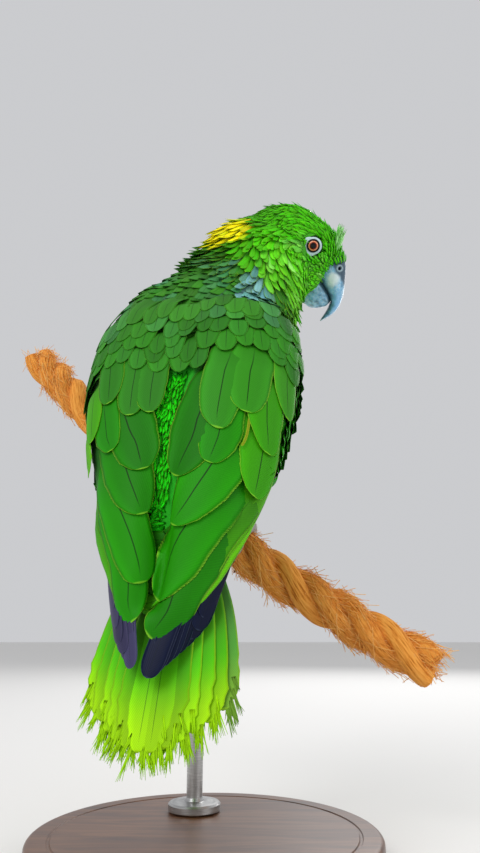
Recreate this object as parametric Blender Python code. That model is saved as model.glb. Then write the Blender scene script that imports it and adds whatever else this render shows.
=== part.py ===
"""A life-size yellow-naped amazon, perched on a cut length of rope that a display stand holds up.

Sizes are in millimetres here and turned into metres as each mesh is made.  +Z is up, and the
origin is the middle of the underside of the stand's base.  The bird looks away along +Y, turned
a little to +X, and its head is turned to its right.
"""
import math

import bmesh
import bpy
from mathutils import Vector

MM = 0.001
GAP = 0.4                     # left between touching pieces

# The bird's own frame: RIGHT across the back, AHEAD over the breast, heights from ANCHOR.
HEADING = math.radians(16.0)
ANCHOR = Vector((-10.0, 1.5, 150.0))
RIGHT = Vector((math.cos(HEADING), -math.sin(HEADING), 0.0))
AHEAD = Vector((math.sin(HEADING), math.cos(HEADING), 0.0))
UP = Vector((0.0, 0.0, 1.0))

# Body without wings: height, sideways, ahead, half width, depth to the back, depth to the front.
BODY = (
    (-80, 6.0, -68.5, 5.0, 2.6, 2.0),
    (-56, 6.8, -60.5, 14.0, 4.6, 3.0),
    (-32, 9.0, -52.0, 25.0, 9.0, 9.0),
    (-8, 9.3, -43.0, 34.5, 17.0, 18.0),
    (18, 9.2, -31.0, 42.5, 26.0, 27.0),
    (46, 6.2, -17.0, 49.5, 33.0, 36.0),
    (74, 4.1, -4.0, 51.0, 37.0, 43.0),
    (98, 3.6, 6.0, 50.2, 37.0, 43.0),
    (120, 8.6, 14.0, 46.5, 33.5, 38.5),
    (134, 14.8, 19.0, 40.9, 30.5, 34.0),
)
TRUNK_TOP = 120.8             # height where the trunk ends and the neck starts
TRUNK_END = -46.0             # height of the tip of the tail coverts
VENT = 6.0                    # below this height the trunk is slimmer than the wings' bed
COVERT_SIZES = (13.0, 3.2, 5.0)   # half width, back and front depth of the trunk's lower tip
ROUNDNESS = 2.25              # 2 would be a plain ellipse
TRUNK_SIDES, TRUNK_RINGS = 28, 24

# Neck: sideways, ahead, height, half width, back depth, front depth, and its last lean.
NECK = (
    (9.4, 15.0, 121.4, 45.7, 33.0, 37.5),
    (16.1, 18.5, 129.5, 41.8, 31.5, 36.0),
    (21.8, 23.0, 139.6, 37.6, 30.0, 33.0),
    (25.4, 27.4, 152.2, 36.4, 30.0, 30.0),
    (30.2, 31.2, 163.6, 36.0, 29.0, 28.0),
    (39.4, 34.8, 174.4, 29.5, 24.6, 25.0),
)
NECK_LEAN = Vector((0.62, 0.27, 0.72))

# Head: the midpoint between the eyes, where the right eye looks, and how far the bill dips.
EYE_MIDDLE = Vector((60.5, 22.6, 325.4))
EYE_AXIS_TURN = math.radians(7.0)
EYE_AXIS_DIP = math.radians(31.0)
BILL_DIP = math.radians(38.0)
# Along the head, from the back: how far ahead of the eyes, top, bottom and half width.
HEAD = (
    (-42.5, -2.5, -17.5, 5.5),
    (-38.5, 4.4, -24.5, 12.5),
    (-30.0, 11.8, -29.5, 18.3),
    (-20.0, 16.8, -32.5, 22.0),
    (-8.0, 17.4, -34.0, 22.3),
    (2.0, 16.6, -35.0, 20.6),
    (9.0, 14.3, -35.5, 17.8),
    (14.5, 10.2, -35.0, 14.0),
    (17.6, 6.0, -33.0, 10.0),
)
EYE_RADIUS = 5.6
EYE_SIDE = 14.4               # from the head's mid plane to an eyeball's middle

# The upper bill's ridge and cutting edge, and the lower bill, as (ahead, up) from the eyes.
RIDGE = ((13.5, 7.6), (22.4, 3.0), (28.4, -5.4), (32.8, -13.6), (34.8, -21.6), (33.6, -28.4),
         (30.6, -34.6))
CUTTING_EDGE = ((12.0, -14.0), (17.7, -15.6), (22.6, -17.6), (26.6, -19.6), (28.9, -23.0),
                (29.8, -28.0), (30.0, -34.2))
BILL_HALF_WIDTHS = (8.2, 8.4, 8.0, 6.8, 5.0, 3.1, 0.8)
LOWER_TOP = ((12.0, -14.9), (18.0, -16.6), (22.4, -18.8), (26.0, -21.8))
LOWER_BOTTOM = ((12.0, -30.0), (18.5, -31.4), (23.2, -29.0), (26.4, -25.2))
LOWER_HALF_WIDTHS = (7.6, 7.4, 6.0, 3.4)

# Wings: height, inner edge and outer edge as angles from the middle of the back, thickness.
WING_RIGHT = (
    (118, 38, 92, 1.2), (108, 22, 110, 3.6), (92, 14, 119, 5.6), (74, 11, 121, 6.4),
    (46, 9, 117, 6.4), (18, 7, 109, 5.8), (-8, 6, 101, 4.8), (-32, 6, 88, 3.4),
    (-47, 8, 58, 2.2), (-56, 12, 30, 1.0),
)
WING_LEFT = (
    (118, 38, 92, 1.2), (108, 22, 110, 3.6), (92, 14, 119, 5.6), (74, 13, 121, 6.4),
    (46, 12, 117, 6.4), (18, 11, 109, 5.8), (-8, 9, 101, 4.8), (-28, 8, 92, 3.4),
    (-40, 12, 74, 2.2), (-49, 26, 50, 1.0),
)
PRIMARIES_RIGHT = (
    (-20, 8, 96, 1.0), (-36, 8, 92, 1.4), (-52, 8, 74, 1.4), (-64, 10, 52, 1.2), (-71, 14, 32, 0.8),
)
PRIMARIES_LEFT = (
    (-20, 10, 96, 1.0), (-34, 16, 96, 1.4), (-48, 22, 88, 1.4), (-60, 26, 66, 1.2), (-67, 32, 48, 0.8),
)
BED_GAP = 1.0                 # between the facets of the trunk and of a wing
PRIMARY_LIFT = 2.7            # room under the wing for the primaries
WING_ROWS, WING_COLUMNS = 18, 10
PRIMARY_ROWS, PRIMARY_COLUMNS = 8, 6

# Tail: a fan of feathers, seen as one solid with stepped tips.
TAIL_ROOT = (9.6, -54.0, -50.0)
TAIL_TIP = (12.0, -74.5, -103.5)
TAIL_ROOT_HALF, TAIL_TIP_HALF = 22.0, 32.5
TAIL_FEATHERS = 10
TAIL_THICKNESS = 2.4
TAIL_STEP = 0.27              # how much shorter the outermost feathers are
TAIL_DOME = 5.0               # how far the fan's sides fall away from its middle

# Rope: its middle line in the bird's frame (sideways, ahead, height) and its radius.
ROPE = ((-137.0, 56.0, 129.0), (-104.0, 49.0, 98.0), (-68.0, 41.5, 62.0), (-34.0, 35.5, 31.0),
        (-14.0, 33.0, 14.0), (4.0, 33.0, -1.0), (24.0, 34.5, -15.5), (60.0, 38.5, -39.5),
        (112.0, 42.5, -70.0))
ROPE_RADIUS = 11.0
ROPE_POINTS, ROPE_SIDES = 30, 10

# Legs and feet.
# Where each foot grips across the bird, and its ankle: how far back from the grip, and how far above
FEET = {"left": (-24.0, 11.0, -2.0), "right": (11.0, 14.0, 12.0)}
THIGH_TOP = (18.5, -4.0, 48.0)
TARSUS_RADIUS = 4.2
TOE_RADIUS = 3.1
TOE_ARC = math.radians(106.0)
TOES = ((1, -4.6, -3.5), (1, 3.6, 4.5), (-1, -4.0, -3.0), (-1, 4.6, 5.5))  # side, root, splay
CLAW_LENGTH = 9.0

# Stand.
BASE_RADIUS, BASE_HEIGHT, BASE_EDGE = 78.0, 12.0, 2.0
ROD_RADIUS = 4.0
ROD_AT = -7.0                 # where the rod meets the rope, across the bird, between the feet
FLANGE_RADIUS, FLANGE_HEIGHT = 13.0, 4.0
CUP_RADIUS, CUP_HEIGHT = 6.5, 20.0

COLOURS = {
    "green feathers": ((0.045, 0.30, 0.02, 1.0), 0.62, 0.0),
    "yellow green feathers": ((0.25, 0.55, 0.01, 1.0), 0.6, 0.0),
    "blue black feathers": ((0.01, 0.012, 0.04, 1.0), 0.45, 0.0),
    "slate horn": ((0.10, 0.14, 0.18, 1.0), 0.45, 0.0),
    "dark cere skin": ((0.03, 0.035, 0.05, 1.0), 0.6, 0.0),
    "orange eye": ((0.55, 0.13, 0.02, 1.0), 0.08, 0.0),
    "grey foot skin": ((0.17, 0.16, 0.15, 1.0), 0.7, 0.0),
    "coir rope": ((0.45, 0.20, 0.05, 1.0), 0.9, 0.0),
    "walnut base": ((0.10, 0.05, 0.025, 1.0), 0.4, 0.0),
    "brushed steel": ((0.55, 0.55, 0.55, 1.0), 0.35, 1.0),
}


def clear_scene():
    for old in list(bpy.data.objects):
        bpy.data.objects.remove(old, do_unlink=True)


def finish_of(name):
    """The named Principled material, made once."""
    if name in bpy.data.materials:
        return bpy.data.materials[name]
    colour, roughness, metallic = COLOURS[name]
    material = bpy.data.materials.new(name)
    material.use_nodes = True
    shader = material.node_tree.nodes["Principled BSDF"]
    shader.inputs["Base Color"].default_value = colour
    shader.inputs["Roughness"].default_value = roughness
    shader.inputs["Metallic"].default_value = metallic
    return material


def place(sideways, ahead, height):
    return ANCHOR + RIGHT * sideways + AHEAD * ahead + UP * height


def mix(a, b, t):
    return a + (b - a) * t


def smooth_row(rows, t):
    """Catmull-Rom through rows of numbers; t runs from 0 to 1 over the whole list."""
    last = len(rows) - 1
    place_in = min(max(t, 0.0), 1.0) * last
    i = min(int(place_in), last - 1)
    u = place_in - i
    quad = [rows[min(max(i + k, 0), last)] for k in (-1, 0, 1, 2)]
    values = []
    for p0, p1, p2, p3 in zip(*quad):
        values.append(0.5 * (2 * p1 + (p2 - p0) * u + (2 * p0 - 5 * p1 + 4 * p2 - p3) * u * u
                             + (3 * p1 - p0 - 3 * p2 + p3) * u * u * u))
    return values


def row_at(rows, key):
    """The smooth row whose first number is the given one."""
    rising = rows[-1][0] > rows[0][0]
    low, high = 0.0, 1.0
    for _ in range(40):
        middle = (low + high) / 2
        if (smooth_row(rows, middle)[0] < key) == rising:
            low = middle
        else:
            high = middle
    return smooth_row(rows, (low + high) / 2)


def add_object(name, mesh_edit, finish):
    """Turn a bmesh in millimetres into a named object in metres."""
    bmesh.ops.recalc_face_normals(mesh_edit, faces=mesh_edit.faces)
    bmesh.ops.scale(mesh_edit, vec=(MM, MM, MM), verts=mesh_edit.verts)
    mesh = bpy.data.meshes.new(name)
    mesh_edit.to_mesh(mesh)
    mesh_edit.free()
    mesh.shade_smooth()
    mesh.set_sharp_from_angle(angle=math.radians(40))
    mesh.materials.append(finish_of(finish))
    made = bpy.data.objects.new(name, mesh)
    bpy.context.scene.collection.objects.link(made)
    return made


def rings_object(name, rings, finish):
    """A closed body through a row of rings with equal numbers of points."""
    mesh_edit = bmesh.new()
    rows = [[mesh_edit.verts.new(point) for point in ring] for ring in rings]
    count = len(rows[0])
    for lower, upper in zip(rows, rows[1:]):
        for i in range(count):
            j = (i + 1) % count
            mesh_edit.faces.new((lower[i], lower[j], upper[j], upper[i]))
    mesh_edit.faces.new(rows[0])
    mesh_edit.faces.new(rows[-1])
    return add_object(name, mesh_edit, finish)


def hide_cutter(cutter):
    cutter.hide_render = True
    cutter.display_type = "WIRE"


def carve(piece, cutter, operation="DIFFERENCE"):
    modifier = piece.modifiers.new(operation.lower(), "BOOLEAN")
    modifier.operation = operation
    modifier.object = cutter
    hide_cutter(cutter)


def section(middle, normal, half_width, back, front, count, grow=0.0):
    """A ring round the body, from the middle of the back over its right side."""
    across = AHEAD.cross(normal).normalized()
    forward = normal.cross(across).normalized()
    ring = []
    for i in range(count):
        ring.append(section_point(middle, across, forward, half_width, back, front,
                                  math.tau * i / count, grow))
    return ring


def section_point(middle, across, forward, half_width, back, front, angle, grow):
    s, c = math.sin(angle), math.cos(angle)
    power = 2.0 / ROUNDNESS
    x = math.copysign(abs(s) ** power, s)
    y = math.copysign(abs(c) ** power, c)
    depth = (back if c > 0 else front) + grow
    return middle + across * x * (half_width + grow) - forward * y * depth


def body_axis(height):
    step = 2.0
    above, below = row_at(BODY, height + step), row_at(BODY, height - step)
    rise = place(above[1], above[2], above[0]) - place(below[1], below[2], below[0])
    return rise.normalized()


def body_point(height, angle, grow):
    """A point on the bed that the wings lie on, moved out by grow."""
    row = row_at(BODY, height)
    normal = body_axis(height)
    across = AHEAD.cross(normal).normalized()
    forward = normal.cross(across).normalized()
    return section_point(place(row[1], row[2], row[0]), across, forward, row[3], row[4], row[5],
                         angle, grow)


def trunk_rings(grow=0.0):
    rings = []
    for i in range(TRUNK_RINGS):
        height = mix(TRUNK_END, TRUNK_TOP, i / (TRUNK_RINGS - 1))
        row = row_at(BODY, height)
        sizes = row[3:]
        if height < VENT:
            t = (VENT - height) / (VENT - TRUNK_END)
            ease = t * t * (3 - 2 * t)
            sizes = [mix(size, tip, ease) for size, tip in zip(sizes, COVERT_SIZES)]
        rings.append(section(place(row[1], row[2], row[0]), body_axis(height), *sizes,
                             TRUNK_SIDES, grow))
    return rings


def make_neck(head_cutter):
    start = body_axis(TRUNK_TOP)
    end = (RIGHT * NECK_LEAN.x + AHEAD * NECK_LEAN.y + UP * NECK_LEAN.z).normalized()
    count = 9
    rings = []
    for i in range(count):
        t = i / (count - 1)
        sideways, ahead, height, half_width, back, front = smooth_row(NECK, t)
        normal = start.lerp(end, t).normalized()
        rings.append(section(place(sideways, ahead, height), normal, half_width, back, front, TRUNK_SIDES))
    neck = rings_object("neck", rings, "green feathers")
    carve(neck, head_cutter)


def head_axes():
    side = Vector((-math.sin(EYE_AXIS_TURN) * math.cos(EYE_AXIS_DIP),
                   -math.cos(EYE_AXIS_TURN) * math.cos(EYE_AXIS_DIP), -math.sin(EYE_AXIS_DIP)))
    level = UP.cross(side).normalized()
    rise = side.cross(level).normalized()
    facing = level * math.cos(BILL_DIP) - rise * math.sin(BILL_DIP)
    crown = level * math.sin(BILL_DIP) + rise * math.cos(BILL_DIP)
    return facing, crown, side


def head_place(ahead, up, side):
    facing, crown, right = head_axes()
    return EYE_MIDDLE + facing * ahead + crown * up + right * side


def head_object(name, grow):
    rings = []
    count = 13
    for i in range(count):
        ahead, top, bottom, half_width = smooth_row(HEAD, i / (count - 1))
        middle, half_height = (top + bottom) / 2, (top - bottom) / 2 + grow
        if grow and i in (0, count - 1):
            ahead += grow if i else -grow
        half = half_width + grow
        rings.append([head_place(ahead, middle + half_height * math.cos(a), half * math.sin(a))
                      for a in (math.tau * k / 24 for k in range(24))])
    return rings_object(name, rings, "green feathers")


def bill_rings(upper_line, lower_line, widths, count, grow, start=0.0, end=1.0):
    """Rings across the bill between two lines in the head's middle plane."""
    rings = []
    for i in range(count):
        t = mix(start, end, i / (count - 1))
        top = smooth_row(upper_line, t)
        bottom = smooth_row(lower_line, t)
        half = smooth_row([(w,) for w in widths], t)[0] + grow
        span = math.hypot(top[0] - bottom[0], top[1] - bottom[1])
        reach = (span / 2 + grow) / (span / 2)
        middle = [(a + b) / 2 for a, b in zip(top, bottom)]
        rise = [(a - b) / 2 * reach for a, b in zip(top, bottom)]
        ring = []
        for k in range(14):
            angle = math.tau * k / 14
            ring.append(head_place(middle[0] + rise[0] * math.cos(angle),
                                   middle[1] + rise[1] * math.cos(angle), half * math.sin(angle)))
        rings.append(ring)
    return rings


def make_head_and_bill():
    head = head_object("head", 0.0)
    cere_end = 0.24
    cuts = ((RIDGE, CUTTING_EDGE, BILL_HALF_WIDTHS, 0.0), (LOWER_TOP, LOWER_BOTTOM, LOWER_HALF_WIDTHS, 0.0))
    for number, (top, bottom, widths, start) in enumerate(cuts):
        cutter = rings_object(f"bill_cutter_{number}",
                              bill_rings(top, bottom, widths, 9, GAP, start), "slate horn")
        carve(head, cutter)
    rings_object("cere", bill_rings(RIDGE, CUTTING_EDGE, BILL_HALF_WIDTHS, 3, 0.0, 0.0, cere_end - 0.008),
                 "dark cere skin")
    rings_object("bill_upper", bill_rings(RIDGE, CUTTING_EDGE, BILL_HALF_WIDTHS, 11, 0.0, cere_end + 0.008),
                 "slate horn")
    rings_object("bill_lower", bill_rings(LOWER_TOP, LOWER_BOTTOM, LOWER_HALF_WIDTHS, 7, 0.0), "slate horn")
    for name, sign in (("eye_left", -1), ("eye_right", 1)):
        for label, grow in ((name, 0.0), (f"{name}_cutter", GAP)):
            ball = bmesh.new()
            bmesh.ops.create_uvsphere(ball, u_segments=12, v_segments=8, radius=EYE_RADIUS + grow)
            bmesh.ops.translate(ball, verts=ball.verts, vec=head_place(0.0, 0.0, sign * EYE_SIDE))
            made = add_object(label, ball, "orange eye")
            if grow:
                carve(head, made)


def close_rim(mesh_edit, top, under):
    """Join the edges of two sheets of equal rows and columns."""
    last_row, last = len(top) - 1, len(top[0]) - 1
    around = [(0, k) for k in range(last)] + [(i, last) for i in range(last_row)]
    around += [(last_row, k) for k in range(last, 0, -1)] + [(i, 0) for i in range(last_row, 0, -1)]
    for (i, k), (m, n) in zip(around, around[1:] + around[:1]):
        mesh_edit.faces.new((top[i][k], top[m][n], under[m][n], under[i][k]))


def shell_object(name, outline, mirror, rows, columns, lift, finish):
    """A thin shell on the wings' bed: a wing, or the primaries under it."""
    outer, inner = [], []
    for i in range(rows):
        t = i / (rows - 1)
        height, edge_in, edge_out, thick = smooth_row(outline, t)
        outer_row, inner_row = [], []
        for k in range(columns):
            p = k / (columns - 1)
            angle = math.radians(mix(edge_in, edge_out, p)) * mirror
            bulge = 0.7 + (thick - 0.7) * math.sqrt(max(0.0, 1 - (2 * p - 1) ** 2))
            base = BED_GAP + lift(height)
            inner_row.append(body_point(height, angle, base))
            outer_row.append(body_point(height, angle, base + max(bulge, 0.7)))
        outer.append(outer_row)
        inner.append(inner_row)
    mesh_edit = bmesh.new()
    top = [[mesh_edit.verts.new(point) for point in row] for row in outer]
    under = [[mesh_edit.verts.new(point) for point in row] for row in inner]
    for grid in (top, under):
        for a, b in zip(grid, grid[1:]):
            for k in range(columns - 1):
                mesh_edit.faces.new((a[k], a[k + 1], b[k + 1], b[k]))
    close_rim(mesh_edit, top, under)
    return add_object(name, mesh_edit, finish)


def wing_lift(height):
    t = min(max((4.0 - height) / 24.0, 0.0), 1.0)
    return PRIMARY_LIFT * t * t * (3 - 2 * t)


def make_wings():
    for side, mirror, wing, primaries in (("left", -1, WING_LEFT, PRIMARIES_LEFT),
                                          ("right", 1, WING_RIGHT, PRIMARIES_RIGHT)):
        shell_object(f"wing_{side}", wing, mirror, WING_ROWS, WING_COLUMNS, wing_lift, "green feathers")
        shell_object(f"primaries_{side}", primaries, mirror, PRIMARY_ROWS, PRIMARY_COLUMNS,
                     lambda height: 0.0, "blue black feathers")


def make_tail():
    """Feathers side by side; each one's tip is round, so the fan's end is scalloped."""
    root, tip = place(*TAIL_ROOT), place(*TAIL_TIP)
    down = (tip - root).normalized()
    across = AHEAD.cross(down).normalized() * -1
    back = across.cross(down).normalized()
    if back.dot(AHEAD) > 0:
        back = -back
    length = (tip - root).length
    columns, rows = TAIL_FEATHERS * 2, 6
    mesh_edit = bmesh.new()
    sheets = []
    for half_thick in (TAIL_THICKNESS / 2, -TAIL_THICKNESS / 2):
        grid = []
        for i in range(rows):
            t = i / (rows - 1)
            line = []
            for k in range(columns + 1):
                p = 2 * k / columns - 1
                feather = abs(math.sin(math.pi * TAIL_FEATHERS * (p + 1) / 2))
                reach = length * (1 - TAIL_STEP * abs(p) ** 2.2) * mix(1.0, 0.95 + 0.05 * feather, t ** 3)
                half = mix(TAIL_ROOT_HALF, TAIL_TIP_HALF,
                           math.sin(t * math.pi * 0.45) / math.sin(math.pi * 0.45))
                point = (root + down * reach * t + across * half * p
                         + back * (half_thick - TAIL_DOME * p * p * t))
                line.append(mesh_edit.verts.new(point))
            grid.append(line)
        sheets.append(grid)
    top, under = sheets
    for grid in sheets:
        for a, b in zip(grid, grid[1:]):
            for k in range(columns):
                mesh_edit.faces.new((a[k], a[k + 1], b[k + 1], b[k]))
    close_rim(mesh_edit, top, under)
    add_object("tail", mesh_edit, "yellow green feathers")


def rope_tube(name, radius):
    """The rope's tube on a smooth line through its points."""
    line = [place(*smooth_row(ROPE, i / (ROPE_POINTS - 1))) for i in range(ROPE_POINTS)]
    return rings_object(name, tube_rings(line, [radius] * ROPE_POINTS, ROPE_SIDES), "coir rope")


def rope_at(sideways):
    """The rope's middle and direction where it passes the given place across the bird."""
    here, beyond = place(*row_at(ROPE, sideways)), place(*row_at(ROPE, sideways + 2.0))
    return here, (beyond - here).normalized()


def tube_rings(points, radii, sides):
    rings = []
    for i, (point, radius) in enumerate(zip(points, radii)):
        along = points[min(i + 1, len(points) - 1)] - points[max(i - 1, 0)]
        turn = along.to_track_quat("Z", "Y").to_matrix()
        rings.append([point + turn @ Vector((radius * math.cos(a), radius * math.sin(a), 0))
                      for a in (math.tau * k / sides for k in range(sides))])
    return rings


def make_leg(side, sign, trunk_cutter, grip_cutter):
    grip, ankle_back, ankle_rise = FEET[side]
    middle, along = rope_at(grip)
    ahead = along.cross(UP).normalized()
    if ahead.dot(AHEAD) < 0:
        ahead = -ahead
    lift = ahead.cross(along).normalized()
    if lift.z < 0:
        lift = -lift
    arc_radius = ROPE_RADIUS + TOE_RADIUS + GAP
    top = middle + lift * (arc_radius + 1.0)
    ankle = top - ahead * ankle_back + UP * ankle_rise
    thigh_top = place(THIGH_TOP[0] * sign + 4.0, THIGH_TOP[1], THIGH_TOP[2])
    thigh_points = [thigh_top.lerp(ankle, t) for t in (0.0, 0.2, 0.42, 0.64, 0.84, 0.97)]
    thigh = rings_object(f"thigh_{side}", tube_rings(thigh_points, (9.0, 14.5, 15.0, 12.5, 9.0, 5.6), 14),
                         "green feathers")
    carve(thigh, trunk_cutter)
    carve(thigh, grip_cutter)
    way_down = (top - ankle).normalized()
    shank = [ankle + way_down * (6.4 + GAP), ankle.lerp(top, 0.8), top + way_down * 1.5]
    foot = rings_object(f"foot_{side}", tube_rings(shank, (4.4, TARSUS_RADIUS, 4.8), 10), "grey foot skin")
    for number, (way, root, splay) in enumerate(TOES, 1):
        points, radii = [], []
        for i in range(7):
            t = i / 6
            angle = way * TOE_ARC * t * (1.0 if way > 0 else 0.94)
            spread = root + splay * t
            points.append(middle + along * spread * 0.9 + ahead * math.sin(angle) * arc_radius
                          + lift * math.cos(angle) * arc_radius)
            radii.append(TOE_RADIUS * (1.0 - 0.18 * t + 0.07 * math.sin(t * 9.4)))
        toe = rings_object(f"toe_cutter_{side}_{number}", tube_rings(points, radii, 7), "grey foot skin")
        carve(foot, toe, "UNION")
        make_claw(f"claw_{side}_{number}", points, radii[-1])


def make_claw(name, toe, radius):
    """A curved claw that goes on from the toe's end, hooking in towards the rope."""
    way = (toe[-1] - toe[-2]).normalized()
    bend = (toe[-1] - toe[-2]) - (toe[-2] - toe[-3])
    inward = (bend - way * bend.dot(way)).normalized()
    start = toe[-1] + way * GAP
    points = [start + way * CLAW_LENGTH * t + inward * CLAW_LENGTH * 0.22 * t * t
              for t in (0.0, 0.35, 0.7, 1.0)]
    radii = (radius * 0.78, radius * 0.62, radius * 0.36, 0.3)
    rings_object(name, tube_rings(points, radii, 7), "slate horn")


def turned(name, profile, sides, middle, finish):
    """A body turned round an upright axis from (radius, height) pairs."""
    rings = [[Vector((middle.x + r * math.cos(a), middle.y + r * math.sin(a), z))
              for a in (math.tau * k / sides for k in range(sides))] for r, z in profile]
    return rings_object(name, rings, finish)


def make_stand(rope_cutter):
    turned("stand_base", ((BASE_RADIUS, 0.0), (BASE_RADIUS, BASE_HEIGHT - BASE_EDGE),
                          (BASE_RADIUS - 0.6, BASE_HEIGHT - 0.6), (BASE_RADIUS - BASE_EDGE, BASE_HEIGHT)),
           40, Vector((0, 0, 0)), "walnut base")
    held = rope_at(ROD_AT)[0]
    foot = BASE_HEIGHT + GAP
    rod = turned("stand_rod", ((FLANGE_RADIUS, foot), (FLANGE_RADIUS, foot + FLANGE_HEIGHT),
                               (ROD_RADIUS, foot + FLANGE_HEIGHT + 2.0),
                               (ROD_RADIUS, held.z - CUP_HEIGHT - 6.0),
                               (CUP_RADIUS, held.z - CUP_HEIGHT), (CUP_RADIUS, held.z - 2.0)),
                 14, held, "brushed steel")
    carve(rod, rope_cutter)


def build():
    clear_scene()
    trunk_cutter = rings_object("trunk_cutter", trunk_rings(GAP), "green feathers")
    rings_object("trunk", trunk_rings(), "green feathers")
    make_neck(head_object("head_cutter", GAP))
    make_head_and_bill()
    make_wings()
    make_tail()
    rope_tube("perch_rope", ROPE_RADIUS)
    grip_cutter = rope_tube("grip_cutter", ROPE_RADIUS + 2.2 * TOE_RADIUS + 2 * GAP)
    for side, sign in (("left", -1), ("right", 1)):
        make_leg(side, sign, trunk_cutter, grip_cutter)
    make_stand(rope_tube("rope_cutter", ROPE_RADIUS + GAP))
    hide_cutter(trunk_cutter)


build()
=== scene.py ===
"""The looks of a life-size yellow-naped amazon on a rope perch, laid out as an add-on.

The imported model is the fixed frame.  One skin stands for the fleshy nodes; every feather is a
closed vane of its own, laid on that skin or on the bed of the folded wings; the rope's strands
and fibres are Geometry Nodes.  Lengths are millimetres until a mesh is made.
"""
import math
from itertools import product

import bmesh
import bpy
import numpy as np
from bpy.props import FloatProperty, FloatVectorProperty, IntProperty, PointerProperty
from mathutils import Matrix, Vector
from mathutils.bvhtree import BVHTree
from mathutils.kdtree import KDTree


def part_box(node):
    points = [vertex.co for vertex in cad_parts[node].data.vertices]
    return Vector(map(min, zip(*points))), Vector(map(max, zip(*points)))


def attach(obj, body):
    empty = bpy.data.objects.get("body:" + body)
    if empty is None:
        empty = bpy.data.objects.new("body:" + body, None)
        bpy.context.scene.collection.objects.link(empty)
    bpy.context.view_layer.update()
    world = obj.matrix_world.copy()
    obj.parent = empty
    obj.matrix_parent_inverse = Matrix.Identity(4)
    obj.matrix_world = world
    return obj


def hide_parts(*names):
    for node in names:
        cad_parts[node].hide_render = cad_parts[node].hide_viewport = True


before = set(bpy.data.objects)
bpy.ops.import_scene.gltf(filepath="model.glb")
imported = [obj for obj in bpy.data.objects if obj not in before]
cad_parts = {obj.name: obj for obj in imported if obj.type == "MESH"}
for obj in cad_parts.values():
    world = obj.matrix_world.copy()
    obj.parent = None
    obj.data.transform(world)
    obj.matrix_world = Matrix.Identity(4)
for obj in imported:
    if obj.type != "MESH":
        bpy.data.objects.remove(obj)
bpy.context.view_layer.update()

bl_info = {
    "name": "Amazon Parrot Model",
    "version": (1, 0, 0),
    "blender": (4, 5, 0),
    "location": "3D View > Sidebar > Parrot",
    "description": "Builds the plumage, head, feet, rope and stand of a life-size parrot",
    "category": "Object",
}

MM = 0.001
BODY = "root"

# The bird's own frame: right across the back, ahead over the breast, heights above ANCHOR.
HEADING = math.radians(16.0)
ANCHOR = np.array((-10.0, 1.5, 150.0))
RIGHT = np.array((math.cos(HEADING), -math.sin(HEADING), 0.0))
AHEAD = np.array((math.sin(HEADING), math.cos(HEADING), 0.0))
UP = np.array((0.0, 0.0, 1.0))

# Middle line of the body: height, sideways, ahead.
BODY_LINE = ((-95, 10.5, -73.0), (-80, 6.0, -68.5), (-56, 6.8, -60.5), (-32, 9.0, -52.0), (-8, 9.3, -43.0),
             (18, 9.2, -31.0), (46, 6.2, -17.0), (74, 4.1, -4.0), (98, 3.6, 6.0), (120, 8.6, 14.0),
             (134, 14.8, 19.0))
NECK_LINE = ((6.0, 15.0, 121.0), (18.5, 23.0, 140.0), (33.0, 31.5, 162.0), (44.0, 35.0, 174.0))

# The head's frame: the right eye looks back and down at the viewer, and the bill dips.
EYE_AXIS_TURN = math.radians(7.0)
EYE_AXIS_DIP = math.radians(31.0)
BILL_DIP = math.radians(38.0)

FLESH = ("head", "neck", "trunk", "thigh_left", "thigh_right", "wing_left", "wing_right")
FLIGHT = ("primaries_left", "primaries_right")


# ---------------------------------------------------------------- settings

class PlumageSettings(bpy.types.PropertyGroup):
    """Sizes of the skin and the coat."""
    coat_depth: FloatProperty(name="Coat depth", default=0.0030, unit="LENGTH",
                              description="How far the skin lies under the body's outline")
    head_depth: FloatProperty(name="Coat depth on the head", description="The same on the head",
                              default=0.0015, unit="LENGTH")
    skin_voxel: FloatProperty(name="Skin detail", description="Size of the skin's faces",
                              default=0.0022, unit="LENGTH")
    density: FloatProperty(name="Feather spacing", default=1.0, min=0.5, max=3.0,
                           description="Larger values set the small feathers wider apart")
    seed: IntProperty(name="Seed", description="Another number sets every small feather anew", default=7)


class RopeSettings(bpy.types.PropertyGroup):
    """Sizes of the rope perch."""
    radius: FloatProperty(name="Rope radius", description="Outer radius over the strands",
                          default=0.0110, unit="LENGTH")
    lay: FloatProperty(name="Length of lay", description="Length over which a strand makes one turn",
                       default=0.062, unit="LENGTH")
    fibres: IntProperty(name="Fibres", description="Loose fibres on the strands", default=5200)
    seed: IntProperty(name="Seed", description="Another number sets every fibre anew", default=5)


class StageSettings(bpy.types.PropertyGroup):
    """Camera, light and floor."""
    lens: FloatProperty(name="Lens", default=27.9, description="Focal length in mm on a 36 mm sensor")
    pitch: FloatProperty(name="Camera pitch", description="How far the camera looks up",
                         default=math.radians(17.7), subtype="ANGLE")
    floor: FloatVectorProperty(name="Floor colour", description="Colour of the floor and the backdrop",
                               subtype="COLOR", default=(0.78, 0.77, 0.75), min=0.0, max=1.0)


# ---------------------------------------------------------------- small helpers

def place(sideways, ahead, height):
    """A place given in the bird's own frame."""
    return ANCHOR + RIGHT * sideways + AHEAD * ahead + UP * height


def unit(vector):
    vector = np.asarray(vector, float)
    return vector / np.maximum(np.linalg.norm(vector, axis=-1, keepdims=True), 1e-9)


def ease(low, high, value):
    """A smooth step from 0 at low to 1 at high."""
    t = np.clip((value - low) / (high - low), 0.0, 1.0)
    return t * t * (3 - 2 * t)


def blend(a, b, amount):
    return a + (b - a) * amount


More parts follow.
